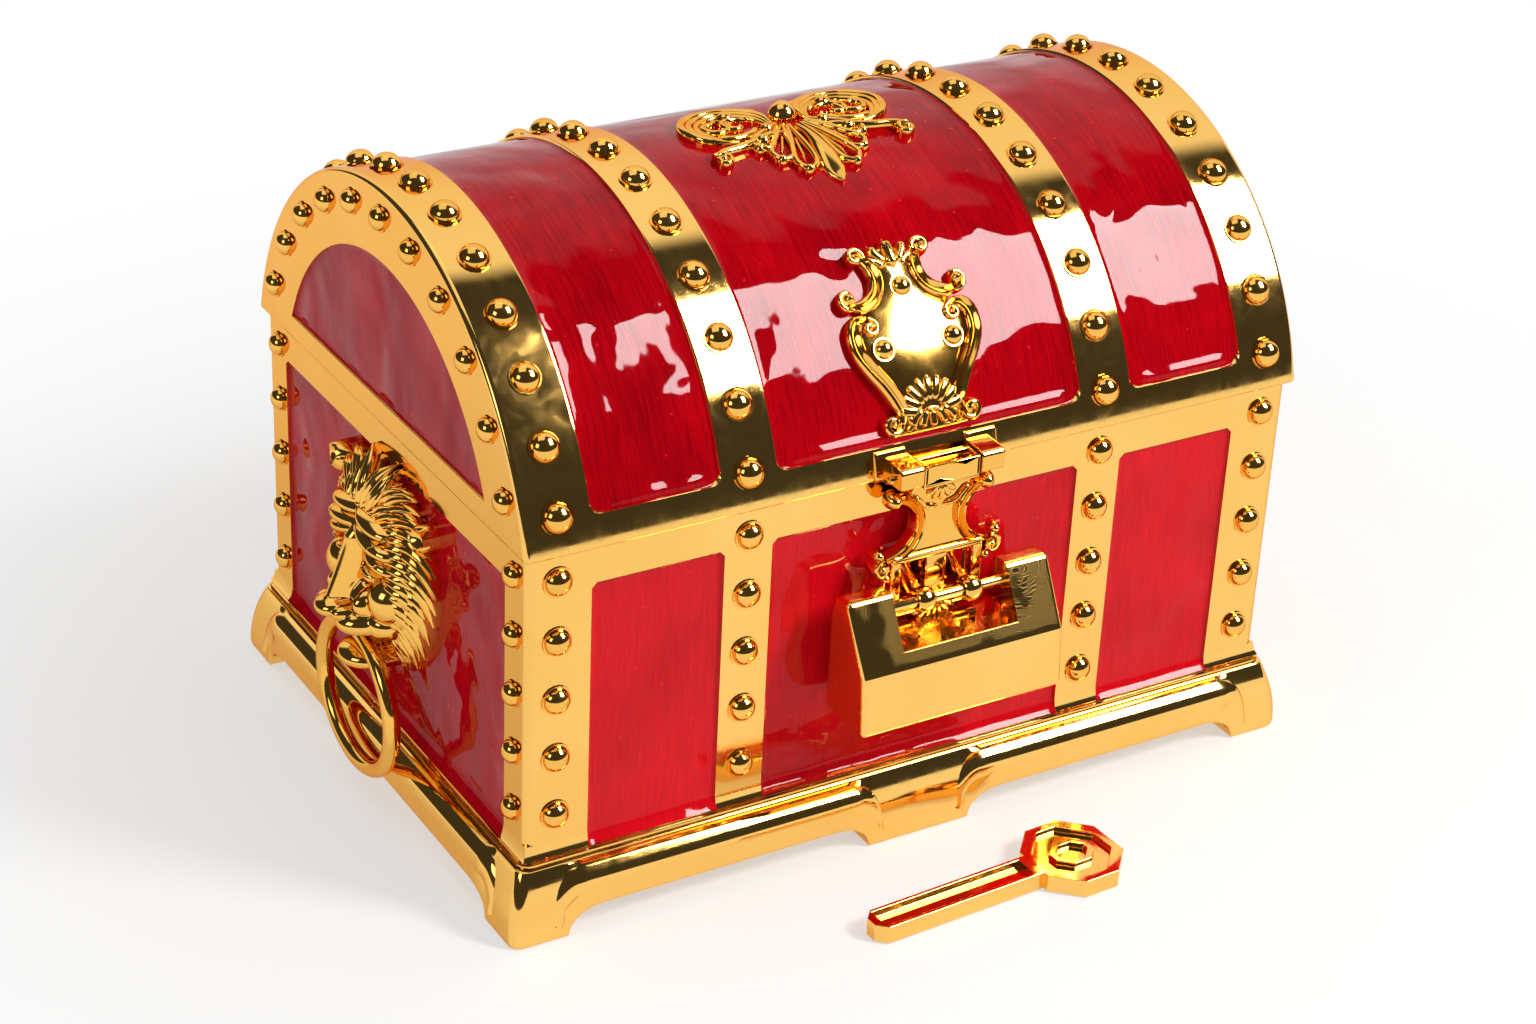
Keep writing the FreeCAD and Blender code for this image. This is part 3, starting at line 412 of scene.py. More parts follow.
def finger_marks(tree, place):
    """Whorls on the padlock's slopes: ridges 0.5 mm apart in touches about 14 mm across."""
    about = node(tree, "ShaderNodeVectorMath", {0: place, 1: (0.019, -0.092, 0.077)}, operation="SUBTRACT")
    whorl = node(tree, "ShaderNodeTexWave", {
        "Vector": about, "Scale": 2 * math.pi / (20 * 0.0005), "Distortion": 30.0, "Detail": 2.0,
        "Detail Scale": 0.3}, wave_type="RINGS", rings_direction="SPHERICAL")
    touch = node(tree, "ShaderNodeTexNoise", {"Vector": place, "Scale": 1 / 0.014, "Detail": 2.0})
    spot = node(tree, "ShaderNodeSeparateXYZ", {"Vector": place}).outputs
    aside = node(tree, "ShaderNodeMath", {0: spot["X"]}, operation="ABSOLUTE")
    mark = whorl.outputs["Fac"]
    # Clean between touches, on the side faces, 29 mm out, and on the front, up to 60 mm high
    for value, low, high in ((touch, 0.3, 0.5), (aside, 0.0288, 0.0278), (spot["Z"], 0.060, 0.062)):
        dirty = node(tree, "ShaderNodeMapRange", {"Value": value, "From Min": low, "From Max": high})
        mark = node(tree, "ShaderNodeMath", {0: mark, 1: dirty}, operation="MULTIPLY")
    return node(tree, "ShaderNodeMath", {0: mark, 1: 2.0}, operation="POWER")


def gold_plate(name, light, deep, rough, waves, prints=0.06, marked=False):
    """Polished gold plating on cast zinc: a warm mirror, a little wavy, with wiped smears or finger whorls."""
    made, tree, place = blank(name)
    # Casting waves about 25 mm long, tone drifting over 40 mm, wipe marks about 7 mm
    wave, drift = (node(tree, "ShaderNodeTexNoise", {"Vector": place, "Scale": 1 / size, "Detail": detail})
                   for size, detail in ((0.025, 1.0), (0.04, 2.0)))
    smear = finger_marks(tree, place) if marked else node(
        tree, "ShaderNodeTexNoise", {"Vector": place, "Scale": 1 / 0.007, "Detail": 4.0, "Distortion": 1.2})
    tone = node(tree, "ShaderNodeMix", {"Factor": drift, "A": linear(deep), "B": linear(light)}, data_type="RGBA")
    gloss = node(tree, "ShaderNodeMapRange", {"Value": smear, "From Min": 0.35, "From Max": 0.75,
                                              "To Min": rough, "To Max": rough + prints})
    bump = node(tree, "ShaderNodeBump", {"Height": wave, "Strength": waves, "Distance": 0.001})
    skin = node(tree, "ShaderNodeBsdfPrincipled", {
        "Base Color": tone, "Specular Tint": linear("#EFC0AE"), "Metallic": 1.0, "Roughness": gloss, "Normal": bump})
    node(tree, "ShaderNodeOutputMaterial", {"Surface": skin})
    return made


def red_enamel(name, axis, deep, light, skin_share):
    """Translucent red enamel poured over brushed metal: deep glossy red with fine wavy grain under a wet skin."""
    made, tree, place = blank(name)
    # The grain wanders over 9 mm; clouds of depth 22 mm, pour ripples 28 and 9 mm
    wander, cloud, swell, ripple = (
        node(tree, "ShaderNodeTexNoise", {"Vector": place, "Scale": 1 / size, "Detail": detail, "Distortion": bend})
        for size, detail, bend in ((0.009, 3.0, 0.0), (0.022, 3.0, 0.0), (0.028, 1.0, 0.5), (0.009, 1.0, 0.0)))
    # Brushed grain 0.5 mm apart and 12 mm long, specks 5 mm apart
    bent = node(tree, "ShaderNodeVectorMath", {0: wander.outputs["Color"], 1: (0.002, 0.002, 0.002), 2: place},
                operation="MULTIPLY_ADD")
    run = {"X": (1 / 0.0005, 1 / 0.012, 1 / 0.012), "Y": (1 / 0.012, 1 / 0.0005, 1 / 0.012)}[axis]
    drawn = node(tree, "ShaderNodeVectorMath", {0: bent, 1: run}, operation="MULTIPLY")
    grain = node(tree, "ShaderNodeTexNoise", {"Vector": drawn, "Scale": 1.0, "Detail": 2.0})
    speck = node(tree, "ShaderNodeTexVoronoi", {"Vector": place, "Scale": 1 / 0.005})
    depth = node(tree, "ShaderNodeMath", {0: grain, 1: cloud}, operation="ADD")
    share = node(tree, "ShaderNodeMapRange", {"Value": depth, "From Min": 0.66, "From Max": 1.34})
    tone = node(tree, "ShaderNodeMix", {"Factor": share, "A": linear(deep), "B": linear(light)}, data_type="RGBA")
    dust = node(tree, "ShaderNodeMapRange", {"Value": speck, "From Min": 0.04, "From Max": 0.1, "To Min": 0.7,
                                             "To Max": 0.0})
    speckled = node(tree, "ShaderNodeMix", {"Factor": dust, "A": tone, "B": linear("#F02030")}, data_type="RGBA")
    poured = node(tree, "ShaderNodeBump", {"Height": swell, "Strength": 0.9, "Distance": 0.0024})
    wet = node(tree, "ShaderNodeBump", {"Height": ripple, "Strength": 0.5, "Distance": 0.0004, "Normal": poured})
    satin = node(tree, "ShaderNodeBump", {"Height": grain, "Strength": 0.3, "Distance": 0.0002})
    skin = node(tree, "ShaderNodeBsdfPrincipled", {
        "Base Color": speckled, "Roughness": 0.5, "Specular IOR Level": 0.0, "Coat Weight": skin_share,
        "Coat Roughness": 0.03, "Coat IOR": 1.25, "Normal": satin, "Coat Normal": wet})
    node(tree, "ShaderNodeOutputMaterial", {"Surface": skin})
    return made


plating = gold_plate("polished gold plating", "#FFD077", "#F6BF60", 0.05, 0.05)
castings = gold_plate("gilt zinc castings", "#FFCB6A", "#EFB04C", 0.07, 0.12)
handled = gold_plate("gold plating with finger marks", "#FFD077", "#F6BF60", 0.05, 0.05, 0.22, True)
rods = gold_plate("gilt turned rods", "#FFD27C", "#F3BE62", 0.06, 0.03)
# One enamel in lit and shaded copies: lighter on the front as painted light, darker on the lid as painted shade; the
# ends sit between
front_enamel = red_enamel("red enamel, painted lighter on the front", "X", "#B60814", "#DA0E1C", 1.0)
end_enamel = red_enamel("red enamel on the ends", "Y", "#94000E", "#C60A1A", 0.7)
lid_enamel_painted_shade = red_enamel("red enamel, painted darker on the lid", "X", "#84000A", "#BC0412", 0.85)


# Plinth: flared moulding with bracket feet, ledge lines and a roll on each rail

def flare(z):
    """How far the plinth's face stands out at a height."""
    return 2.5 + 4.0 * (1 - np.clip(np.asarray(z, float) / 19.1, 0, 1)**2.2)


def arch(place, low, high):
    """Height of the plinth's lower edge along a rail, arched between two feet."""
    from_foot = np.minimum(place - low, high - place)
    bend = np.clip(1 - from_foot / rail_bend, 0, 1)
    return np.where(from_foot > 0, arch_height * np.sqrt(np.clip(1 - bend**2, 0, 1)), 0.0)


def rail_places(low, high):
    """Stations along an arched rail, close together where it bends."""
    bend = rail_bend * (1 - np.cos(np.linspace(0, math.pi / 2, 9)))
    middle = np.linspace(low + rail_bend, high - rail_bend, 8)[1:-1]
    return np.concatenate([low + bend, middle, (high - bend)[::-1]])


def plinth_loop(reach, z=None):
    """One level round the plinth, at a height or else along its lower edge."""
    long = rail_places(*front_rail)
    long = np.concatenate([-long[::-1], [0.0], long])
    short = rail_places(*end_rail)
    runs = ((long, arch(np.abs(long), *front_rail)), (short, arch(short, *end_rail)))
    x, y, r = half_length + reach, half_depth + reach, 3.0
    out = []
    for side in range(4):
        half, far = (x, y) if side % 2 == 0 else (y, x)
        run = [(p, -far, lift) for p, lift in zip(*runs[side % 2])]
        run += [(half - r + r * math.sin(t), -far + r - r * math.cos(t), 0.0) for t in np.linspace(0, math.pi / 2, 6)]
        c, s = ((1, 0), (0, 1), (-1, 0), (0, -1))[side]
        out += [(c * a - s * b, s * a + c * b, lift if z is None else z) for a, b, lift in run]
    return np.array(out)


def plinth_body():
    """The moulding from its lower edge up over the ledge, with its hollow underside."""
    rows = [plinth_loop(-2.0, 17.8), plinth_loop(-2.0), plinth_loop(5.6)]
    for t in (0.0, 0.03, 0.08, 0.18, 0.3, 0.42, 0.54, 0.66, 0.78, 0.88, 0.95, 1.0):
        level = plinth_loop(0.0)
        lift = level[:, 2].copy()
        level[:, 2] += (18.4 - lift) * t
        rail = 0.9 + 5.68 * np.sqrt(1 - (np.clip(level[:, 2] - roll_height, 0, 5.7) / 5.71)**2)
        stand = flare(level[:, 2]) + (rail - flare(level[:, 2])) * ease(3.0, arch_height, lift)
        stand -= 0.35 * (1 - t / 0.08)**2 if t < 0.08 else 0
        outer = np.abs(level[:, :2]) > (half_length - 3.2, half_depth - 3.2)
        level[:, :2] += np.where(outer, np.sign(level[:, :2]), 0) * stand[:, None]
        rows.append(level)
    return loft(rows + [plinth_loop(reach, z) for reach, z in (
        (2.62, 18.7), (2.62, 18.95), (2.45, 19.12), (1.9, 19.15), (1.75, 19.25), (1.95, 19.4), (1.98, 20.1),
        (1.85, 20.28), (1.3, 20.35), (1.18, 20.45), (1.36, 20.6), (1.3, 20.76), (1.1, 20.8), (-4.0, 20.8))])


def rail_roll(low, high):
    """The roll along a rail in (along, height, reach), turned down onto the feet with drawn-out ends."""
    r, foot = 8.0, 3.2
    half = [(low - 0.6, foot), (low - 0.2, (foot + roll_height - r) / 2)]
    half += [(low + r * (1 - math.cos(t)), roll_height - r + r * math.sin(t)) for t in np.linspace(0, math.pi / 2, 12)]
    along = np.array(half + [(high - a + low, z) for a, z in reversed(half)])
    run = np.concatenate([[0], np.cumsum(np.linalg.norm(np.diff(along, axis=0), axis=1))])
    radius = 5.7 * (0.18 + 0.82 * ease(-2, 13, np.minimum(run, run[-1] - run)))
    reach = np.minimum(flare(along[:, 1]) + 0.2, 6.6 - radius * ease(0.0, 2.5, radius))
    return sweep(np.column_stack([along, reach]), radius)


front_roll, end_roll = rail_roll(12.4, 103.7), rail_roll(-70.0, 70.0)
rolls = both(on_wall(front_roll, "front", half_depth), on_wall(front_roll, "back", half_depth),
             on_wall(end_roll, "left", half_length))
piece("plinth_moulding", merge(plinth_body(), rolls), plating, "box", ["plinth"], 38, True)
softened("box_tub", "box_shell", 0.4, plating, "box")


# Enamel panels: a sheet in each recess, drawn up at its edges, with a cove at the foot of the box

def spaced(low, high, step):
    """Places from low to high, close together near both ends."""
    near = np.array([0, 0.12, 0.3, 0.55, 0.9, 1.4, 1.9, 2.4, 2.9, 3.4, 4.0, 4.8, 6.0])
    count = max(2, int((high - low - 12) / step))
    middle = np.linspace(low + near[-1], high - near[-1], count + 1)[1:-1]
    return np.concatenate([low + near, middle, high - near[::-1]])


def enamel_sheet(u0, u1, v0, v1, cove=False, pooled=0.0):
    """A panel in (u, v, w) from the enamel's level, with a cove at its foot or pooled rolls at top and bottom."""
    gu, gv = np.meshgrid(spaced(u0, u1, 5.0), spaced(v0, v1, 5.0))
    aside, upright = np.minimum(gu - u0, u1 - gu), np.minimum(gv - v0, v1 - gv)
    w = 0.5 * np.exp(-np.minimum(aside, v1 - gv if cove else upright) / 0.55)
    if cove:
        w += 2.1 * np.clip(1 - (gv - v0) / 3.8, 0, 1)**2.2
    w += pooled * ease(1.0, 7.0, aside) * np.exp(-((upright - 1.9) / 1.35)**2)
    top, low = (np.stack([gu, gv, level], axis=2) for level in (w, np.full_like(w, -sheet_back)))
    return loft(np.concatenate([top, low[:, ::-1]], axis=1))


def bays_between(edge, offset, half):
    """The bays that two straps leave between two edges."""
    return {"left": (-edge, -offset - half), "centre": (-offset + half, offset - half), "right": (offset + half, edge)}


front_level = half_depth - recess + enamel
end_level = half_length - recess + enamel
for bay, (low, high) in bays_between(half_length - corner_band_front, strap_offset, strap_half).items():
    sheet = enamel_sheet(low, high, plinth_top, panel_top, True)
    for side in ("front", "back"):
        piece(side + "_enamel_" + bay, on_wall(sheet, side, front_level), front_enamel, "box",
              [side + "_panel_" + bay])
edge = half_depth - corner_band_end
pair("end_enamel_{}", on_wall(enamel_sheet(-edge, edge, plinth_top, panel_top, True), "left", end_level), end_enamel,
     "box", "end_panel_{}")


# Lid: barrel with raised straps, arched ends and a hollow inside

lid_bays = bays_between(lid_half - 18.0, lid_strap_offset, lid_strap_half)
half_edge = np.array([0.1, 0.25, 0.45, 0.8, 1.3, 1.9, 2.6, 3.4])
near_edge = np.concatenate([-half_edge[::-1], half_edge])


def lid_columns():
    """Places along the barrel, close together at the recesses' sides."""
    places = [e + near_edge for bay in lid_bays.values() for e in bay]
    end = lid_half - lid_edge + lid_edge * np.sin(np.linspace(0, math.pi / 2, 6))
    half = np.concatenate([[51.5, 104.0], np.linspace(66, 87, 4), end])
    return np.unique(np.round(np.concatenate([*places, np.linspace(-36, 36, 9), half, -half]), 4))


def lid_rows():
    """Places along the arch from the top, in millimetres, close together at the rim rails."""
    rail, side = rail_angle * lid_radius, rim_angle * lid_radius
    half = np.concatenate([rail + near_edge, [side - 3, side - 1.5, side]])
    return np.concatenate([-half[::-1], np.linspace(-rail + 5, rail - 5, 66), half])


def arched_end(radius, chord, x, shares, chord_count=12):
    """The outline of a lid end at a place: an arch, by shares of its half angle, and the chord under it."""
    y, z = arc(shares * turn_at(chord, radius), radius)
    under = np.linspace(y[-1], y[0], chord_count + 2)[1:-1]
    return [(x, *p) for p in zip(y, z)] + [(x, p, chord) for p in under]


def lid():
    """The lid's shell, as one skin from the outside round the rim to the inside."""
    x, s = lid_columns(), lid_rows()
    gx, gs = np.meshgrid(x, s)
    gap = np.full_like(gx, 99.0)
    corner = 3.0
    for low, high in lid_bays.values():
        du = np.abs(gx - (low + high) / 2) - (high - low) / 2 + corner
        dv = np.abs(gs) - rail_angle * lid_radius + corner
        box = np.minimum(np.maximum(du, dv), 0) + np.hypot(np.maximum(du, 0), np.maximum(dv, 0)) - corner
        gap = np.minimum(gap, box)
    over = np.clip(np.abs(gx) - lid_half + lid_edge, 0, lid_edge)
    radius = lid_radius - recess * ease(0.3, -0.3, gap) - lid_edge + np.sqrt(np.clip(lid_edge**2 - over**2, 0, None))
    shares = s / (rim_angle * lid_radius)
    outside = np.stack([gx, *arc(shares[:, None] * turn_at(rim, radius), radius)], axis=2)
    inner_radius, inner_half = lid_radius - lid_wall, lid_half - lid_wall
    coarse = np.linspace(-1, 1, 41)
    inside = np.array([[(p * inner_half / lid_half, *spot[1:]) for p in x]
                       for spot in arched_end(inner_radius, rim, 0, coarse, 0)])
    rings = [arched_end(lid_radius - lid_edge, rim, lid_half, shares)]
    rings += [arched_end(lid_end_radius + d, lid_end_chord - d, lid_half - drop, shares)
              for d, drop in ((0.5, 0.0), (0.3, 0.0), (0.12, 0.08), (0.0, 0.3), (0.0, recess))]
    wall = arched_end(inner_radius, rim, inner_half, coarse)
    lip = [ring[count - 1:] + ring[:1] for ring, count in ((rings[0], len(shares)), (wall, len(coarse)))]
    end = both(loft(rings, True, False), fan(rings[-1], (lid_half - recess, 0, 125)), loft(lip, False, False),
               fan(wall, (inner_half, 0, 130)))
    skins = [outside, inside, [outside[0], inside[0]], [outside[-1], inside[-1]]]
    return merge(*(loft(skin, False, False) for skin in skins), end)


def rounded_rim(work):
    """Rounds the lid's rim over, which draws a thin line at the seam."""
    outer = {v for v in work.verts if abs(v.co.z * 1000 - rim) < 0.02
             and (abs(v.co.x) * 1000 > lid_half - 2.2 or abs(v.co.y) * 1000 > lid_depth - 2.5)}
    round_over(work, [e for e in sharp(work, 51.5) if outer.issuperset(e.verts)], 0.8, 3)


piece("lid_barrel", lid(), plating, "lid", ["lid_shell"], 38, True, rounded_rim)
rail_run = rail_angle * lid_enamel
for side, (low, high) in lid_bays.items():
    sheet = enamel_sheet(low - 0.15, high + 0.15, -rail_run - 0.15, rail_run + 0.15, pooled=0.75)
    piece("lid_enamel_" + side, on_lid(sheet, 0), lid_enamel_painted_shade, "lid", ["lid_panel_" + side])


def lid_end_enamel():
    """The D-shaped panel of the lid's left end."""
    shares = np.linspace(-1, 1, 61)
    level = lid_half - recess + enamel
    outer, under = (np.array(arched_end(lid_end_radius + 0.05, lid_end_chord - 0.05, x, shares, 24))
                    for x in (level, level - sheet_back))
    rows = [under]
    middle = np.array([level, 0, 122.0])
    for t in (0, 0.004, 0.01, 0.018, 0.03, 0.05, 0.08, 0.14, 0.25, 0.4, 0.6, 0.8, 0.97):
        ring = outer + (middle - outer) * t
        ring[:, 0] = level + 0.5 * math.exp(-t * 30 / 0.55)
        rows.append(ring)
    return mirrored(loft(rows))


pair("lid_end_enamel_{}", lid_end_enamel(), end_enamel, "lid", "lid_end_panel_{}")


# Dome rivets with a thin collar, set out by Geometry Nodes

def rivet_tree(finish):
    """Domes on collars at every seat, facing along its normal and sized by its share."""
    tree = bpy.data.node_groups.new("dome rivets", "GeometryNodeTree")
    tree.interface.new_socket("Seats", in_out="INPUT", socket_type="NodeSocketGeometry")
    for name in ("Dome radius", "Dome height", "Collar radius", "Collar height"):
        tree.interface.new_socket(name, in_out="INPUT", socket_type="NodeSocketFloat")
    tree.interface.new_socket("Rivets", in_out="OUTPUT", socket_type="NodeSocketGeometry")
    given = node(tree, "NodeGroupInput").outputs
    facing = node(tree, "GeometryNodeInputNamedAttribute", {"Name": "facing"}, data_type="FLOAT_VECTOR")
    size = node(tree, "GeometryNodeInputNamedAttribute", {"Name": "size"}, data_type="FLOAT")
    turn = node(tree, "FunctionNodeAlignRotationToVector", {"Vector": facing}, axis="Z")
    whole = node(tree, "GeometryNodeMeshUVSphere", {"Segments": 18, "Rings": 12, "Radius": 1.0})
    spread = node(tree, "ShaderNodeCombineXYZ", {
        "X": given["Dome radius"], "Y": given["Dome radius"], "Z": given["Dome height"]})
    swollen = node(tree, "GeometryNodeTransform", {"Geometry": whole, "Scale": spread})
    where = node(tree, "ShaderNodeSeparateXYZ", {"Vector": node(tree, "GeometryNodeInputPosition")})
    under = node(tree, "FunctionNodeCompare", {"A": where.outputs["Z"], "B": -0.0001}, data_type="FLOAT",
                 operation="LESS_THAN")
    cap = node(tree, "GeometryNodeDeleteGeometry", {"Geometry": swollen, "Selection": under}, domain="POINT")
    collar = node(tree, "GeometryNodeMeshCylinder", {
        "Vertices": 18, "Radius": given["Collar radius"], "Depth": given["Collar height"]})
    joined = node(tree, "GeometryNodeJoinGeometry")
    for part in (cap, collar):
        tree.links.new(part.outputs[0], joined.inputs[0])
    set_out = node(tree, "GeometryNodeInstanceOnPoints", {
        "Points": given["Seats"], "Instance": joined, "Rotation": turn, "Scale": size})
    real = node(tree, "GeometryNodeRealizeInstances", {0: set_out})
    gilt = node(tree, "GeometryNodeSetMaterial", {"Geometry": real, "Material": finish})
    node(tree, "NodeGroupOutput", {0: gilt})
    return tree


def rivets(name, seats, tree, body, nodes):
    """One mesh of rivets from seats: place, normal and size share."""
    places, normals, shares = zip(*seats)
    mesh = bpy.data.meshes.new(name)
    mesh.from_pydata([tuple(0.001 * c for c in place) for place in places], [], [])
    mesh.attributes.new("facing", "FLOAT_VECTOR", "POINT").data.foreach_set("vector", np.ravel(normals))
    mesh.attributes.new("size", "FLOAT", "POINT").data.foreach_set("value", shares)
    thing = placed(name, mesh)
    maker = thing.modifiers.new("dome rivets", "NODES")
    maker.node_group = tree
    sizes = {"Dome radius": 0.0031, "Dome height": 0.0027, "Collar radius": 0.0035, "Collar height": 0.0007}
    for item in tree.interface.items_tree:
        if item.name in sizes:
            maker[item.identifier] = sizes[item.name]
    settle(thing)
    crisp(thing.data, 45)
    hang(thing, body, nodes)


rivet_pitch = 16.0
rows = [seam - 6.9 - rivet_pitch * i for i in range(5)]
column = half_length - 7.8
seats = [((x, s * half_depth, z), (0, s, 0), 1.13) for s in (-1, 1)
         for x in (-column, -strap_offset, strap_offset, column) for z in rows]
seats += [((s * half_length, y, z), (s, 0, 0), 1.0) for s in (-1, 1) for y in (-68.9, 68.9) for z in rows]
rivet_maker = rivet_tree(castings)
rivets("box_rivets", seats, rivet_maker, "box", ["front_rivets", "back_rivets", "end_rivets_left", "end_rivets_right"])


def on_barrel(x, turn, reach, size):
    """A seat over the barrel at an angle from the top."""
    return (x, *arc(turn, reach)), (0, -math.sin(turn), math.cos(turn)), size


limit = turn_at(rim + 9.2, lid_radius)
seats = [on_barrel(x, turn, lid_radius, 1.2) for x in (-column, -lid_strap_offset, lid_strap_offset, column)
         for turn in np.linspace(-limit, limit, 13)]
arch_radius = lid_radius - 7.6
limit = turn_at(rim + 11.2, arch_radius)
seats += [(on_barrel(s * lid_half, turn, arch_radius, 1.0)[0], (s, 0, 0), 1.0) for s in (-1, 1)
          for turn in np.linspace(-limit, limit, 11)]
seats += [on_barrel(u, escutcheon_angle - v / lid_enamel, lid_enamel + 2.0, 0.84)
          for u, v in ((0, 11.0), (-9.9, -3.1), (9.9, -3.1))]
rivets("lid_rivets_gilt", seats, rivet_maker, "lid",
       ["lid_rivets", "lid_end_rivets_left", "lid_end_rivets_right", "escutcheon_rivets"])


# Crest: openwork on the lid's top, v towards the back

def petal(root, tip, half):
    """A looped petal outline from a root to a tip, with a vein."""
    root, tip = np.array(root, float), np.array(tip, float)
    run = tip - root
    out = half * np.array([-run[1], run[0]]) / np.linalg.norm(run)
    widths = ((0.0, 0.12), (0.35, 0.5), (0.7, 1.0), (0.9, 0.95))
    outline = even([(-w, t) for t, w in widths] + [(0, 1)])
    vein = ridge(np.linspace(root + run * 0.25, root + run * 0.82, 12), 0.45, 1.3)
    return merge(line([root + run * t - out * w for w, t in outline], 44, 0.85, 2.1, taper=(0.7, 0.7)), vein)


def crest():
    """Boss, leaf tongue, looped petals, scroll wings and tails."""
    tongue = []
    for t in np.linspace(0, 1, 28):
        half = 0.8 + 2.3 * float(ease(0.1, 0.75, t))
        half = max(half * math.sqrt(max(0.0, 1 - max(0.0, (t - 0.72) / 0.26)**2)), 0.7 if t < 0.97 else 0.3)
        v = -6.0 - 24.0 * t
        high = 1.2 + 1.9 * math.sin(math.pi * min(1, t + 0.12))
        tongue.append([(half * a, v, h * high) for a, h in bead_section] + [(half, v, -0.9), (-half, v, -0.9)])
    shapes = [dome(0, 1.2, 3.9, 4.7, 0.4), loft(tongue)]
    for root, tip, half in (((2.0, -5.0), (6.9, -24.4), 2.5), ((3.4, -4.2), (11.8, -19.4), 2.6),
                            ((4.4, -3.0), (15.0, -13.4), 2.5)):
        shapes += [both(petal(root, tip, half)), *(dome(s * tip[0], tip[1], 1.5, 2.6) for s in (1, -1))]
    wing = []
    t = np.linspace(0, 1, 60)
    turn = math.radians(205) - t * math.radians(290)
    for k in range(3):
        radius = 12.4 - 2.0 * k * np.sin(math.pi * t)**0.7 - 2.6 * t
        path = np.stack([17.4 + radius * 1.02 * np.cos(turn), 0.4 + radius * 0.92 * np.sin(turn)], axis=1)
        wing.append(ridge(path, 1.25 - 0.15 * k, 2.2 - 0.3 * k, taper=(0.45, 0.35)))
    wing += [volute((14.6, -0.4), 5.2, 1.2, -0.85, 2.6, 0.9, 2.0, (0.5, 0.8)),
             line([(3.2, 5.4), (8.0, 8.4), (14.0, 9.2), (20.0, 10.6)], 24, 1.0, 1.9),
             volute((20.6, 0.8), 5.6, 1.4, 1.05, 1.9, 0.95, 1.9, (0.5, 0.8)),
             line([(9.0, -2.2), (13.0, -5.6), (18.6, -6.6), (23.4, -4.4)], 24, 1.1, 1.8),
             line([(8.6, 2.2), (11.2, 5.0), (15.6, 7.0)], 20, 0.9, 1.7),
             dome(14.4, 5.2, 2.5, 3.1), dome(8.2, -5.0, 2.0, 2.9), dome(12.4, -10.4, 2.2, 3.2),
             line([(5.0, -7.6), (11.0, -9.0), (18.0, -11.4), (24.0, -12.4), (28.2, -14.0)], 40, 1.2, 2.3,
                  taper=(0.5, 0.8)),
             volute((26.6, -15.9), 2.9, 0.7, 1.15, 1.0, 0.8, 2.4, (0.8, 0.8)), dome(26.6, -15.9, 1.3, 2.9)]
    return on_lid(merge(*shapes, both(*wing)), 0)


piece("crest_gilt", crest(), castings, "lid", ["crest"], 50)


# Escutcheon: a mirror plate with a twin-bead border, volutes, and a scallop at its foot

def flat_plate(table, count, height, crown=0.0):
    """A plate in (u, v, w) whose half width follows a table, its edge rolled over and its middle crowned."""
    return loft([[(half * a, v, height * h + crown * (1 - a * a) * (h > 0)) for a, h in plate_section + [(0, -1.2)]]
                 for v, half in curve(sorted(table), count)])


def scallop(foot, count, inner, outer, spread, height, way=1):
    """A crowned fan of ribs with a beaded rim, opening upwards, or downwards where way is -1."""
    def crown(r):
        return 0.75 * height * np.sqrt(np.clip(1 - ((r - 0.55 * outer) / (0.75 * outer))**2, 0, 1))

    def spot(r, a):
        return foot[0] + r * math.sin(a), foot[1] + way * r * math.cos(a)
    turns = np.linspace(-spread, spread, 20)
    shapes = [loft([[(*spot(r, a), crown(r)) for a in turns] + [(*spot(r, a), -0.9) for a in turns[::-1]]
                    for r in np.linspace(0.25 * inner, outer * 0.98, 8)])]
    r = np.linspace(inner, outer, 12)
    for a in np.linspace(-spread, spread, count):
        path = np.stack(spot(r, a), axis=1)
        shapes.append(ridge(path, 0.92 * outer * spread / count, 0.7, taper=(0.35, 1.0), base=crown(r)))
        shapes.append(ball((*path[-1], crown(outer) + 0.2), (0.8, 0.8, 0.8), 6, 10))
    return merge(*shapes)


def leaf(root, tip, half, height, bow=0.0):
    """A pointed leaf from a root to a tip, bowed sideways."""
    root, tip = np.array(root, float), np.array(tip, float)
    out = np.array([-(tip - root)[1], (tip - root)[0]])
    t = np.linspace(0, 1, 20)[:, None]
    return ridge(root + (tip - root) * t + out * bow * np.sin(math.pi * t), half, height, taper=(0.35, 0.2))


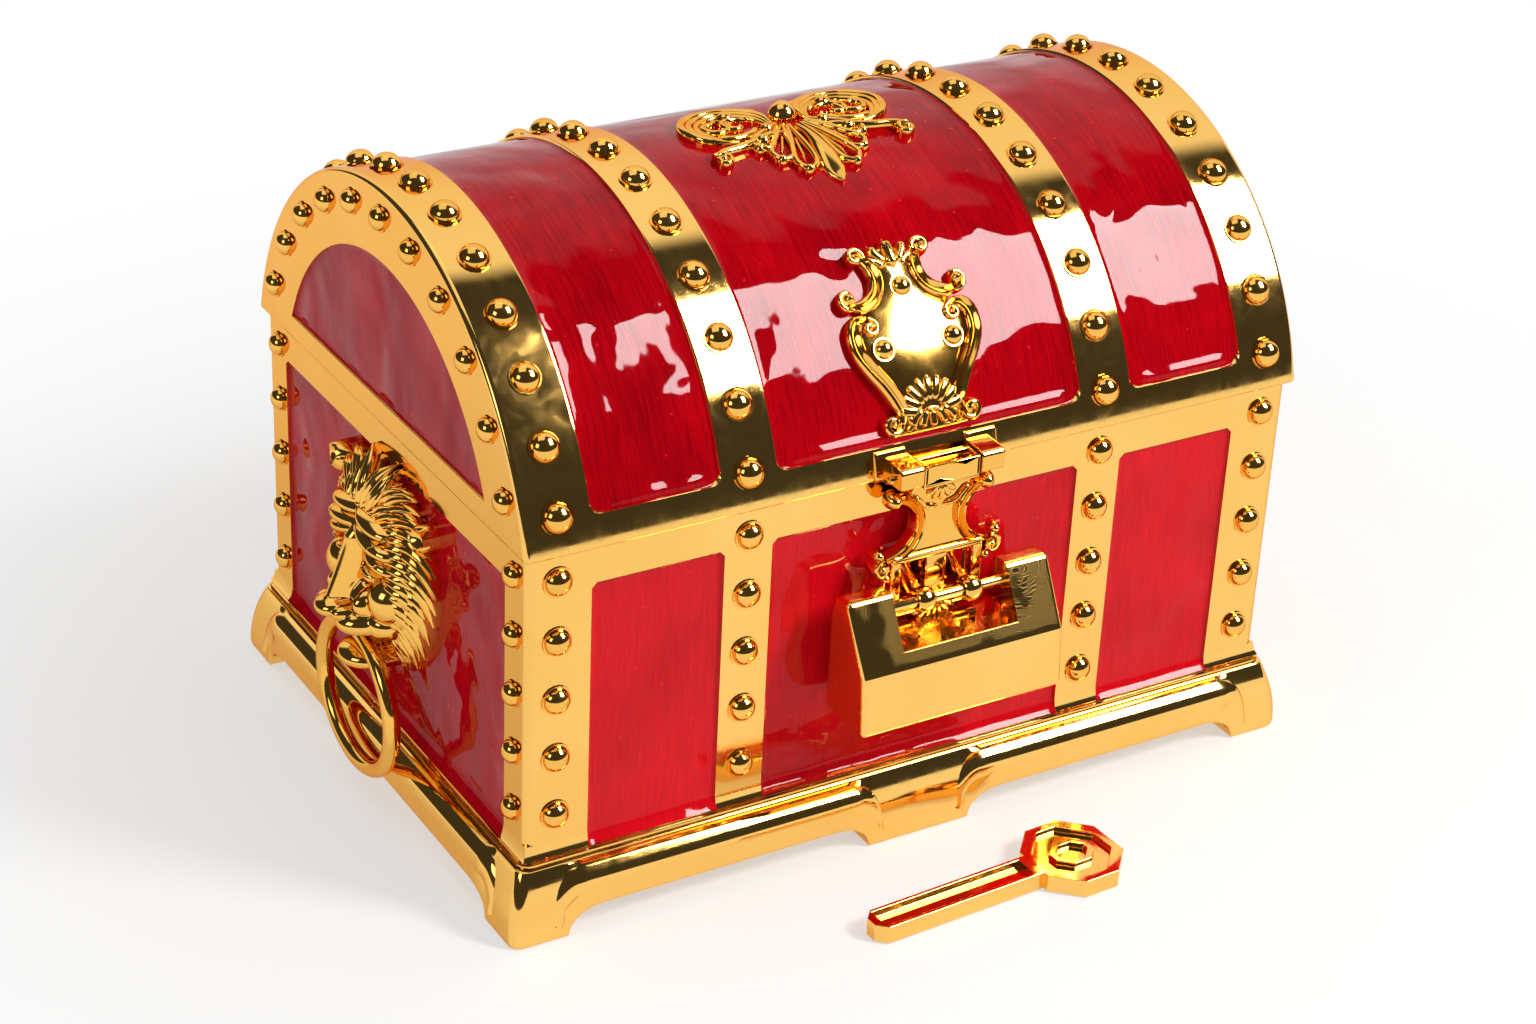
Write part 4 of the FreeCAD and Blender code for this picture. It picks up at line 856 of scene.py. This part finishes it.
def escutcheon():
    """The whole escutcheon."""
    plate = [(21.4, 3.0), (19.0, 6.6), (16.0, 6.4), (12.6, 6.2), (9.4, 8.6), (6.4, 11.8), (3.0, 15.4), (0.0, 16.6),
             (-3.5, 16.0), (-8.0, 13.2), (-12.0, 10.4), (-16.0, 8.4), (-20.0, 8.0), (-23.2, 10.6)]
    upper = [(8.6, 20.6), (6.4, 17.6), (6.0, 13.6), (7.8, 10.0), (11.4, 8.0), (14.8, 8.4)]
    lower = [(11.0, 4.4), (14.4, 4.6), (16.6, 2.0), (16.6, -2.6), (14.6, -6.8), (11.6, -11.2), (9.2, -15.4),
             (8.1, -18.6), (8.9, -21.4)]
    border = [line(upper, 44, 2.0, 2.7, twin_section, (0.6, 0.6)), line(lower, 60, 2.15, 2.8, twin_section, (0.5, 0.6)),
              volute((9.4, 20.2), 2.5, 0.7, -1.1, 3.4, 0.9, 2.9), volute((11.8, 2.5), 2.3, 0.6, 1.2, 1.6, 0.85, 2.6),
              volute((11.4, -21.0), 2.7, 0.7, 1.15, 3.2, 1.05, 2.9),
              volute((15.4, 10.2), 2.7, 1.6, 0.7, -1.9, 0.9, 2.7, (0.6, 0.5)),
              dome(15.4, 10.2, 1.9, 4.2), dome(9.4, 20.2, 1.2, 3.4), dome(11.4, -21.0, 1.1, 3.4),
              dome(11.8, 2.5, 0.9, 3.0), dome(3.0, 18.2, 1.0, 3.4),
              leaf((1.2, 17.2), (4.6, 22.6), 1.3, 3.2, -0.12), leaf((2.2, 16.0), (7.0, 18.8), 1.1, 2.6, 0.15),
              leaf((6.6, -19.4), (4.6, -23.4), 1.0, 2.4, 0.1), leaf((5.2, -21.0), (7.8, -23.6), 0.9, 2.2, -0.1)]
    arc = np.linspace(-1.45, 1.45, 24)
    shapes = [flat_plate(plate, 70, 1.0, 1.1), both(*border), leaf((0, 15.6), (0, 23.6), 1.7, 3.6),
              scallop((0, -20.2), 9, 3.4, 8.6, 1.35, 2.6),
              ridge([(u, -23.6) for u in np.linspace(-10.5, 10.5, 12)], 0.8, 1.5, taper=(0.7, 0.7))]
    shapes += [ridge(np.stack([r * np.sin(arc), -22.4 + r * np.cos(arc)], axis=1), 0.75, height)
               for r, height in ((3.6, 2.4), (2.1, 2.0))]
    shapes += [leaf((0.35 * tip, -19.0), (tip, -23.8 + 0.12 * abs(tip)), 1.25, 2.9, 0.02 * tip)
               for tip in (-6.4, -3.4, 0.0, 3.4, 6.4)]
    return on_lid(merge(*shapes), escutcheon_angle)


piece("escutcheon_gilt", escutcheon(), castings, "lid", ["escutcheon"], 50)


# Hasp: trough, waisted neck between twin-bead scrolls, window frame and a scallop end

def hasp():
    """The hasp in (x, height, reach from its back)."""
    trough = [slab(u0, u1, v0, v1, w0, w1, edge) for u0, u1, v0, v1, w0, w1, edge in (
        (-8.0, 8.0, 102.5, 103.9, 0.0, 6.0, 0.4), (-8.0, 8.0, rim, 108.5, 4.8, 6.0, 0.35),
        (-8.0, 8.0, rim, 108.5, 0.0, 1.2, 0.35), (-8.0, -6.8, rim, 108.5, 0.0, 6.0, 0.35),
        (6.8, 8.0, rim, 108.5, 0.0, 6.0, 0.35))]
    neck = [(103.0, 7.4), (99.0, 9.0), (95.0, 6.2), (91.5, 5.2), (88.0, 5.8), (85.0, 8.2), (82.0, 12.4)]
    outer = [(12.6, 98.6), (9.2, 97.6), (6.6, 94.6), (5.9, 91.2), (6.8, 87.6), (9.6, 84.0), (14.6, 82.2)]
    border = [line(outer, 44, 1.6, 3.0, twin_section, (0.6, 0.6)),
              line([(8.6, 99.6), (6.0, 97.0), (4.2, 95.4), (0, 94.6)], 24, 0.8, 2.5), dome(13.4, 98.4, 2.4, 3.6),
              volute((16.0, 80.4), 2.6, 0.7, -1.1, 1.7, 0.95, 2.8), dome(16.0, 80.4, 1.4, 3.3),
              dome(17.0, 84.2, 1.6, 3.0), dome(14.6, 77.4, 1.5, 2.9)]
    ribs = [ridge([(r * math.sin(a), 101.4 - r * math.cos(a)) for r in np.linspace(0.8, 5.4, 9)], 1.0, 2.4,
                  taper=(0.4, 0.4)) for a in np.linspace(-0.9, 0.9, 5)]
    windows = [slab(u0, u1, v0, v1, 0.0, high, edge) for u0, u1, v0, v1, high, edge in (
        (-13.2, 13.2, 81.0, 83.0, 2.6, 0.6), (-3.0, 3.0, 66.0, 82.0, 2.0, 0.5), (-13.4, -10.4, 66.0, 82.0, 2.4, 0.6),
        (10.4, 13.4, 66.0, 82.0, 2.4, 0.6), (-13.2, 13.2, 65.8, 68.2, 2.2, 0.6))]
    shell = scallop((0, 69.6), 9, 2.4, 6.8, 1.3, 2.4, -1)
    return on_wall(merge(*trough, flat_plate(neck, 40, 1.5), both(*border), *ribs, *windows, shell), "front", 79.5)


piece("hasp_gilt", hasp(), castings, "hasp", ["hasp"], 40, True)


def fixed_knuckles():
    """The two squared knuckles the hasp hangs between, each on a flange bent to the lid."""
    corner = np.linspace(0, math.pi / 2, 5)
    section = [(-76.0, 103.5)] + [(-85.1 - 0.8 * math.sin(a), 104.3 - 0.8 * math.cos(a)) for a in corner]
    section += [(-84.4 - 1.5 * math.cos(a), 107.5 + 1.5 * math.sin(a)) for a in corner] + [(-76.0, 109.2)]
    section = np.array(section)
    shrunk = np.clip(section - (-82.0, 106.2), -1, 1)
    rows = [[(x, *p) for p in section - shrunk * inset] for x, inset in (
        (8.3, 0.5), (8.45, 0.15), (8.8, 0.0), (14.4, 0.0), (14.9, 0.15), (15.1, 0.5))]
    return both(loft(rows), on_lid(slab(8.3, 17.8, 0.4, 7.4, -0.6, 2.0, 0.6), rim_angle))


piece("hasp_fixed_knuckles", fixed_knuckles(), castings, "lid", ["hasp_knuckles"], 40, True)
softened("box_knuckles_gilt", "box_hinge_knuckles", 0.3, castings, "box")
softened("lid_knuckles_gilt", "lid_hinge_knuckles", 0.3, castings, "lid")


# Padlock, key, staple and rods

def prism(outline, x0, x1):
    """A closed bar along X from an outline in (y, z)."""
    return loft([[(x, *p) for p in outline] for x in (x0, x1)])


def block(x0, x1, y0, y1, z0, z1):
    """A plain box."""
    return prism([(y0, z0), (y1, z0), (y1, z1), (y0, z1)], x0, x1)


def round_outline(radius, y, z, count=24):
    """A circle in (y, z)."""
    return [(y + radius * math.cos(a), z + radius * math.sin(a)) for a in circle(count)]


def rounded_case(work):
    """Rounds the padlock's square edges over."""
    flatten(work)
    round_over(work, sharp(work, 50), 1.2, 5)


def padlock_case():
    """The padlock's wedge, cut by its bore, keyway, back pocket and the window that stops short of the slope's foot."""
    wedge = [(-79.9, 44.4), (-97.9, 44.4), (-96.7, 60.4), (-87.7, 77.2), (-82.1, 77.2), (-79.9, 71.2)]
    case = placed("padlock wedge", mesh_of("padlock wedge", prism(wedge, -29.4, 29.4), rounded_case))
    window = block(-16.8, 16.8, -110.0, -70.0, 64.2, 90.0)
    bore = prism(round_outline(1.52, bar_y, bar_z), -24.4, 35.0)
    keyway = block(-10.6, 35.0, -91.3, -85.7, 47.7, 57.1)
    pocket = block(-26.4, 26.4, -81.5, -70.0, 47.4, 58.0)
    cutters = [placed("cutter", mesh_of("cutter", shape)) for shape in (window, bore, keyway, pocket)]
    for cutter in cutters:
        cut = case.modifiers.new("cut", "BOOLEAN")
        cut.operation, cut.solver, cut.object = "DIFFERENCE", "EXACT", cutter
    settle(case)
    mesh = case.data
    for thing in (case, *cutters):
        bpy.data.objects.remove(thing)
    return mesh


def wide_groove(x, y, z):
    """The key's groove widened to leave thin rims, and made shallower."""
    groove_end, cad_half, half, floor_height = 48, 2.5, 3.3, 2.9
    way = complex(math.cos(key_turn), math.sin(key_turn))
    spot = (complex(x, y) - key_place) / way
    if spot.real < groove_end and abs(abs(spot.imag) - cad_half) < 0.05:
        spot = complex(spot.real, math.copysign(half, spot.imag))
        z = max(z, floor_height)
    spot = spot * way + key_place
    return spot.real, spot.imag, z


softened("padlock_case", "padlock_body", 0.3, handled, "padlock", 3, padlock_case())
softened("padlock_back", "padlock_cover", 0.2, plating, "padlock")
softened("chest_key", "key", 0.35, plating, "key", moved=wide_groove)


def staple():
    """The plate and the two lugs with rounded eyes."""
    plate = on_wall(slab(-12.0, 12.0, 67.6, 81.6, 0.0, 1.6, 0.4), "front", 75.3)
    lug_x, lug_y, lug_z = 6.8, -76.5, 74.6
    arm = []
    for t in np.linspace(0, 1, 8):
        high, wide = 4.2 - 1.9 * t**0.7, 1.5 - 0.2 * t
        y, z = lug_y + (bar_y + 2.0 - lug_y) * t, lug_z + (bar_z - lug_z) * t
        arm.append([(lug_x + wide * math.copysign(abs(math.cos(a))**0.6, math.cos(a)), y,
                     z + high * math.copysign(abs(math.sin(a))**0.6, math.sin(a))) for a in circle(14)])
    eye = [[(lug_x + along, bar_y + r * math.cos(a), bar_z + r * math.sin(a)) for along, r in eye_section + [(0, 1.7)]]
           for a in np.linspace(0, 2 * math.pi, 25)]
    return merge(plate, both(loft(arm), loft(eye, True, False)))


piece("staple_gilt", staple(), castings, "box", ["staple"], 50)


def turned_rod(radius, low, high, y, z):
    """A rod along X with chamfered ends."""
    return loft([[(x, *p) for p in round_outline(radius * share, y, z)] for x, share in (
        (low, 0.75), (low + 0.1, 0.92), (low + 0.35, 1), (high - 0.35, 1), (high - 0.1, 0.92), (high, 0.75))])


piece("lock_bar_gilt", turned_rod(1.45, -24.4, 29.4, bar_y, bar_z), rods, "lock_bar", ["lock_bar"])
piece("hasp_pin_gilt", turned_rod(0.9, -16.5, 16.5, -82.5, 105.5), rods, "lid", ["hasp_pin"])
hinge_middle = (strap_offset + column) / 2
pin = turned_rod(1.5, hinge_middle - 13.5, hinge_middle + 13.5, 82.4, rim)
piece("hinge_pins_gilt", both(pin), rods, "box", ["hinge_pins"])


# Lion masks with rings in their mouths

def soft_max(h, lump, soft):
    """The higher of two heights, with a soft valley where they meet."""
    gap = np.clip(0.5 + 0.5 * (lump - h) / soft, 0, 1)
    return h * (1 - gap) + lump * gap + soft * gap * (1 - gap)


def raise_to(h, u, v, cu, cv, ru, rv, top, foot, turn=0.0, soft=1.2):
    """Lifts a rounded muscle out of the face: centre, radii, top and foot heights, and a tilt."""
    c, s = math.cos(turn), math.sin(turn)
    p = ((u - cu) * c + (v - cv) * s) / ru
    q = ((v - cv) * c - (u - cu) * s) / rv
    inside = 1 - p * p - q * q
    return soft_max(h, np.where(inside > 0, foot + (top - foot) * np.sqrt(np.clip(inside, 0, 1)), -9), soft)


def sink(h, u, v, cu, cv, ru, rv, depth):
    """Lowers a rounded hollow into the face."""
    return h - depth * np.clip(1 - ((u - cu) / ru)**2 - ((v - cv) / rv)**2, 0, 1)


def mane_reach(side):
    """How far the mane reaches from the mask's middle, by degrees from the top."""
    return np.interp(side, [0, 14, 27, 40, 54, 67, 84, 97, 110, 126, 142, 154, 166, 180],
                     [27.6, 28.6, 29.6, 30.6, 30.0, 28.4, 28.2, 27.0, 26.0, 26.8, 27.6, 27.8, 27.6, 27.6])


def mane_lock(turn, start, end, width, foot, lean):
    """One lock in (u, v, w): it leaves the face outwards, falls away to the side and ends in a point."""
    root = start * np.array([15.4 * math.sin(turn), 3.0 + 16.4 * math.cos(turn)])
    tip_turn = turn + lean
    tip = end * mane_reach(math.degrees(tip_turn)) * np.array([math.sin(tip_turn), math.cos(tip_turn)])
    knee = root + 0.6 * np.linalg.norm(tip - root) * np.array([math.sin(turn - 0.1), math.cos(turn - 0.1)])
    t = np.linspace(0, 1, 16)
    path = ((1 - t)**2)[:, None] * root + (2 * t * (1 - t))[:, None] * knee + (t**2)[:, None] * tip
    half = width * (0.7 + 0.3 * ease(0, 0.35, t)) * np.clip(1 - np.clip((t - 0.35) / 0.67, 0, 1)**1.7, 0.06, 1)
    near_ring = ease(-9.0, -14.0, path[:, 1]) * ease(5.0, 8.0, np.abs(path[:, 0]))
    base = foot * (1 - 0.85 * t**1.8)
    base = base + (np.minimum(base, 4.6) - base) * near_ring
    return ridge(path, half, 1.9 * (1 - 0.45 * t), strand_section, (1, 1), base, 2.4)


def mane():
    """Two tiers of locks round the face, and the tuft on top."""
    locks = [mane_lock(0.1, 0.95, 1.1, 2.2, 7.8, 0.12), mane_lock(0.3, 0.95, 1.06, 2.0, 7.8, -0.06)]
    for count, start, end, width, foot, shift in ((27, 1.06, 1.0, 2.0, 5.6, 0.0), (24, 0.98, 0.83, 1.9, 7.6, 0.5)):
        for k in range(count):
            turn = math.radians(6 + 146 * (k + shift) / count)
            lean = 0.3 * math.sin(turn) + 0.05 * math.sin(2.4 * k)
            locks.append(mane_lock(turn, start, end * (1 + 0.04 * math.sin(1.9 * k + 1)), width, foot, lean))
    return both(*locks)


def mask_heights(u, v):
    """How far the mask stands out, over its face and the ground of its mane."""
    a = np.abs(u)
    h = raise_to(np.full_like(u, 1.2), a, v, 0, 3.0, 26.0, 25.5, 6.4, 1.0)
    # Ear and its hollow, face, muzzle, eye socket
    h = raise_to(h, a, v, 24.6, 19.3, 5.0, 4.2, 6.6, 1.6, 0.66)
    h = sink(h, a, v, 25.2, 19.7, 2.9, 2.5, 2.6)
    h = raise_to(h, a, v, 0, 3.0, 17.0, 19.4, 10.4, 3.0)
    h = raise_to(h, a, v, 0, -8.0, 11.0, 9.0, 14.4, 4.0, 0.0, 2.0)
    h = sink(h, a, v, 7.6, 1.4, 5.4, 4.2, 3.0)
    # Bridge of the nose
    along = np.clip((10.0 - v) / 19.0, 0, 1)
    wide = 2.5 - 0.6 * along
    crown = 13.0 + 7.2 * along**1.1 - 2.4 * (a / wide)**2.2 - 0.8 * np.clip(v - 10.0, 0, None)
    h = soft_max(h, np.where((v < 16) & (v > -13.5), crown - 1.1 * np.clip(-9.6 - v, 0, None)**1.6, 0), 1.4)
    # Three brow folds, eye, lids, cheek, jowl, nose side, muzzle, nose, nostril wing
    for muscle in ((10.6, 7.4, 7.0, 2.3, 12.0, 6.5, -0.24), (8.0, 11.6, 9.4, 2.7, 12.8, 7.0, -0.16),
                   (6.8, 15.8, 8.8, 2.6, 12.2, 6.5, -0.12), (7.2, 1.4, 2.5, 1.9, 11.4, 8.0, 0.0, 0.4),
                   (7.4, 3.3, 4.0, 1.1, 12.0, 9.0, -0.2, 0.5), (7.4, -0.9, 3.4, 0.8, 10.8, 8.6, 0.12, 0.5),
                   (12.4, -3.4, 6.0, 6.6, 12.6, 5.5), (10.2, -10.8, 5.8, 4.6, 12.4, 6.0),
                   (7.6, -6.0, 2.8, 4.2, 14.8, 8.0, 0.3), (5.2, -11.2, 6.8, 4.4, 18.2, 8.5),
                   (0, -8.4, 5.0, 2.9, 21.6, 16.0, 0.0, 0.7), (4.6, -8.6, 2.4, 2.0, 19.2, 15.0, 0.0, 0.6)):
        h = raise_to(h, a, v, *muscle)
    # Nostril, lip cleft, the mouth, room for the ring beside it, chin
    h = sink(h, a, v, 2.7, -10.5, 1.3, 0.9, 2.2)
    h = h - 1.2 * np.exp(-(a / 0.7)**2) * ease(-10.8, -11.8, v)
    mouth = ease(-14.3, -14.9, v) * ease(-32, -31, v) * ease(14.5, 13.0, a)
    clear = ease(-13.0, -15.5, v) * ease(7.0, 9.0, a)
    for share, most in ((mouth, 5.0), (clear, 6.8)):
        h = h * (1 - share) + np.minimum(h, most) * share
    return raise_to(h, a, v, 0, -24.2, 8.0, 3.8, 15.4, 6.0)


def lion_mask():
    """The left end's mask: a lion's head in a mane of two tiers of locks."""
    turn = circle(360)
    side = np.degrees(np.minimum(turn, 2 * math.pi - turn))
    ear = 8.6 * np.sqrt(np.clip(1 - ((side - 52) / 8.6)**2, 0, 1))
    limit = mane_reach(side) * (0.88 + 0.12 * ease(150, 165, side)) + ear
    share = np.concatenate([np.linspace(0.004, 0.97, 140), [0.99, 1.0]])[:, None]
    u, v = share * limit * np.sin(turn), share * limit * np.cos(turn)
    h = np.maximum(mask_heights(u, v), 1.0)
    h[-1] = np.minimum(h[-1], 1.5)
    rows = np.stack([u, v, h], axis=2)
    points, faces = merge(loft([*rows, rows[-1] * (1, 1, 0)]), mane())
    return on_wall((points + (0, mask_height, 0), faces), "left", end_level)


def pull_ring():
    """The left end's ring, a smooth round wire, a little thinner in the mouth."""
    rows = []
    for t in np.linspace(0, 2 * math.pi, 97):
        out = np.array([0, math.sin(t), math.cos(t)])
        middle = ring_radius * out * (1, 1.08, 1) + (-half_length - ring_reach, 0, ring_height - ring_radius)
        wire = 2.3 - 0.3 * ease(0.6, 1.0, math.cos(t))
        rows.append([middle + wire * (math.cos(a) * out + (math.sin(a), 0, 0)) for a in circle(18)])
    return loft(rows, True, False)


pair("lion_{}", lion_mask(), castings, "box", "lion_mask_{}", 60)
pair("ring_{}_gilt", pull_ring(), castings, "ring_{}", "pull_ring_{}", 60)


# Studio: white floor that keeps the shadow, soft lamps, and a dim side behind the camera for the metal to show

def floor():
    """White paper that keeps the contact shadow and fades to pure white away from the chest."""
    mesh = bpy.data.meshes.new("floor")
    mesh.from_pydata([(-1.7, -1.7, 0), (1.7, -1.7, 0), (1.7, 1.7, 0), (-1.7, 1.7, 0)], [], [(0, 1, 2, 3)])
    ground = placed("floor", mesh)
    ground.location.z = -0.0004
    made, tree, place = blank("white studio paper")
    far = node(tree, "ShaderNodeVectorMath", {0: place}, operation="LENGTH")
    fade = node(tree, "ShaderNodeMapRange", {"Value": far, "From Min": 0.12, "From Max": 0.42, "To Min": 0.5},
                interpolation_type="SMOOTHSTEP")
    ray = node(tree, "ShaderNodeLightPath").outputs
    seen = ray["Is Camera Ray"]
    for flag in ("Is Glossy Ray", "Is Transmission Ray"):
        seen = node(tree, "ShaderNodeMath", {0: seen, 1: ray[flag]}, operation="MAXIMUM")
    white = node(tree, "ShaderNodeMath", {0: seen, 1: fade}, operation="MULTIPLY")
    paper = node(tree, "ShaderNodeBsdfDiffuse", {"Color": linear("#F7F7F5")})
    glow = node(tree, "ShaderNodeEmission", {"Color": (1, 1, 1, 1), "Strength": 1.0})
    blend = node(tree, "ShaderNodeMixShader", {0: white, 1: paper, 2: glow})
    node(tree, "ShaderNodeOutputMaterial", {"Surface": blend})
    mesh.materials.append(made)


def world():
    """White to the eye; mirrors see a bright backdrop behind the chest and a dim room; a low even fill lights it."""
    made = bpy.data.worlds.new("studio")
    bpy.context.scene.world = made
    made.use_nodes = True
    tree = made.node_tree
    tree.nodes.clear()
    way = node(tree, "ShaderNodeTexCoord").outputs["Generated"]
    toward = node(tree, "ShaderNodeVectorMath", {0: way, 1: Vector((0.55, 0.75, 0.37)).normalized()},
                  operation="DOT_PRODUCT")
    backdrop = node(tree, "ShaderNodeMapRange", {
        "Value": toward, "From Min": math.cos(math.radians(52)), "From Max": math.cos(math.radians(45)),
        "To Min": 0.05}, interpolation_type="SMOOTHSTEP")
    height = node(tree, "ShaderNodeSeparateXYZ", {"Vector": way}).outputs["Z"]
    above = node(tree, "ShaderNodeMapRange", {"Value": height, "From Min": -0.08, "From Max": -0.06})
    ray = node(tree, "ShaderNodeLightPath").outputs
    seen = ray["Is Camera Ray"]
    for flag in ("Is Transmission Ray", "Is Glossy Ray"):
        seen = node(tree, "ShaderNodeMath", {0: seen, 1: ray[flag]}, operation="MAXIMUM")
    metal = node(tree, "ShaderNodeMath", {0: above, 1: ray["Is Glossy Ray"]}, operation="MULTIPLY")
    shade = node(tree, "ShaderNodeMix", {"Factor": metal, "A": 1.0, "B": backdrop}, data_type="FLOAT")
    level = node(tree, "ShaderNodeMix", {"Factor": seen, "A": 0.40, "B": shade}, data_type="FLOAT")
    sky = node(tree, "ShaderNodeBackground", {"Color": (1, 1, 1, 1), "Strength": level})
    node(tree, "ShaderNodeOutputWorld", {"Surface": sky})


def lamps():
    """Softboxes; the main one is split into a lamp that lights and a larger one that only mirrors see."""
    for name, spot, size, power, roll, lights, shows in (
            ("key softbox", (0.62, -0.80, 0.95), (0.28, 0.40), 12.0, 0, True, False),
            ("key softbox as mirrored", (0.721, -0.650, 1.016), (0.45, 0.74), 44.0, -32, False, True),
            ("top softbox", (-0.25, 0.15, 1.3), (0.9, 0.9), 2.5, 0, True, True),
            ("left softbox", (-1.2, -0.35, 0.7), (0.5, 0.5), 2.0, 0, True, True)):
        lamp = bpy.data.lights.new(name, "AREA")
        lamp.shape = "RECTANGLE"
        lamp.size, lamp.size_y = size
        lamp.energy = power
        hung = placed(name, lamp)
        hung.location = spot
        aim = (Vector((0, 0, 0.08)) - Vector(spot)).to_track_quat("-Z", "Y").to_matrix()
        hung.rotation_euler = (aim @ Matrix.Rotation(math.radians(roll), 3, "Z")).to_euler()
        hung.visible_diffuse = lights
        hung.visible_glossy = shows


def camera():
    """The photo's view."""
    eye = bpy.data.cameras.new("camera")
    eye.lens = 76.61
    eye.sensor_width = 36.0
    stand = placed("camera", eye)
    right, up, back = (0.8619, -0.5053, 0.0426), (0.2068, 0.4269, 0.8804), (-0.463, -0.750, 0.4724)
    turn = Matrix((right, up, back)).transposed().to_quaternion().to_matrix()
    stand.matrix_world = Matrix.Translation((-0.4062, -0.6593, 0.4683)) @ turn.to_4x4()
    bpy.context.scene.camera = stand


floor()
world()
lamps()
camera()
bpy.context.scene.view_settings.view_transform = "Standard"
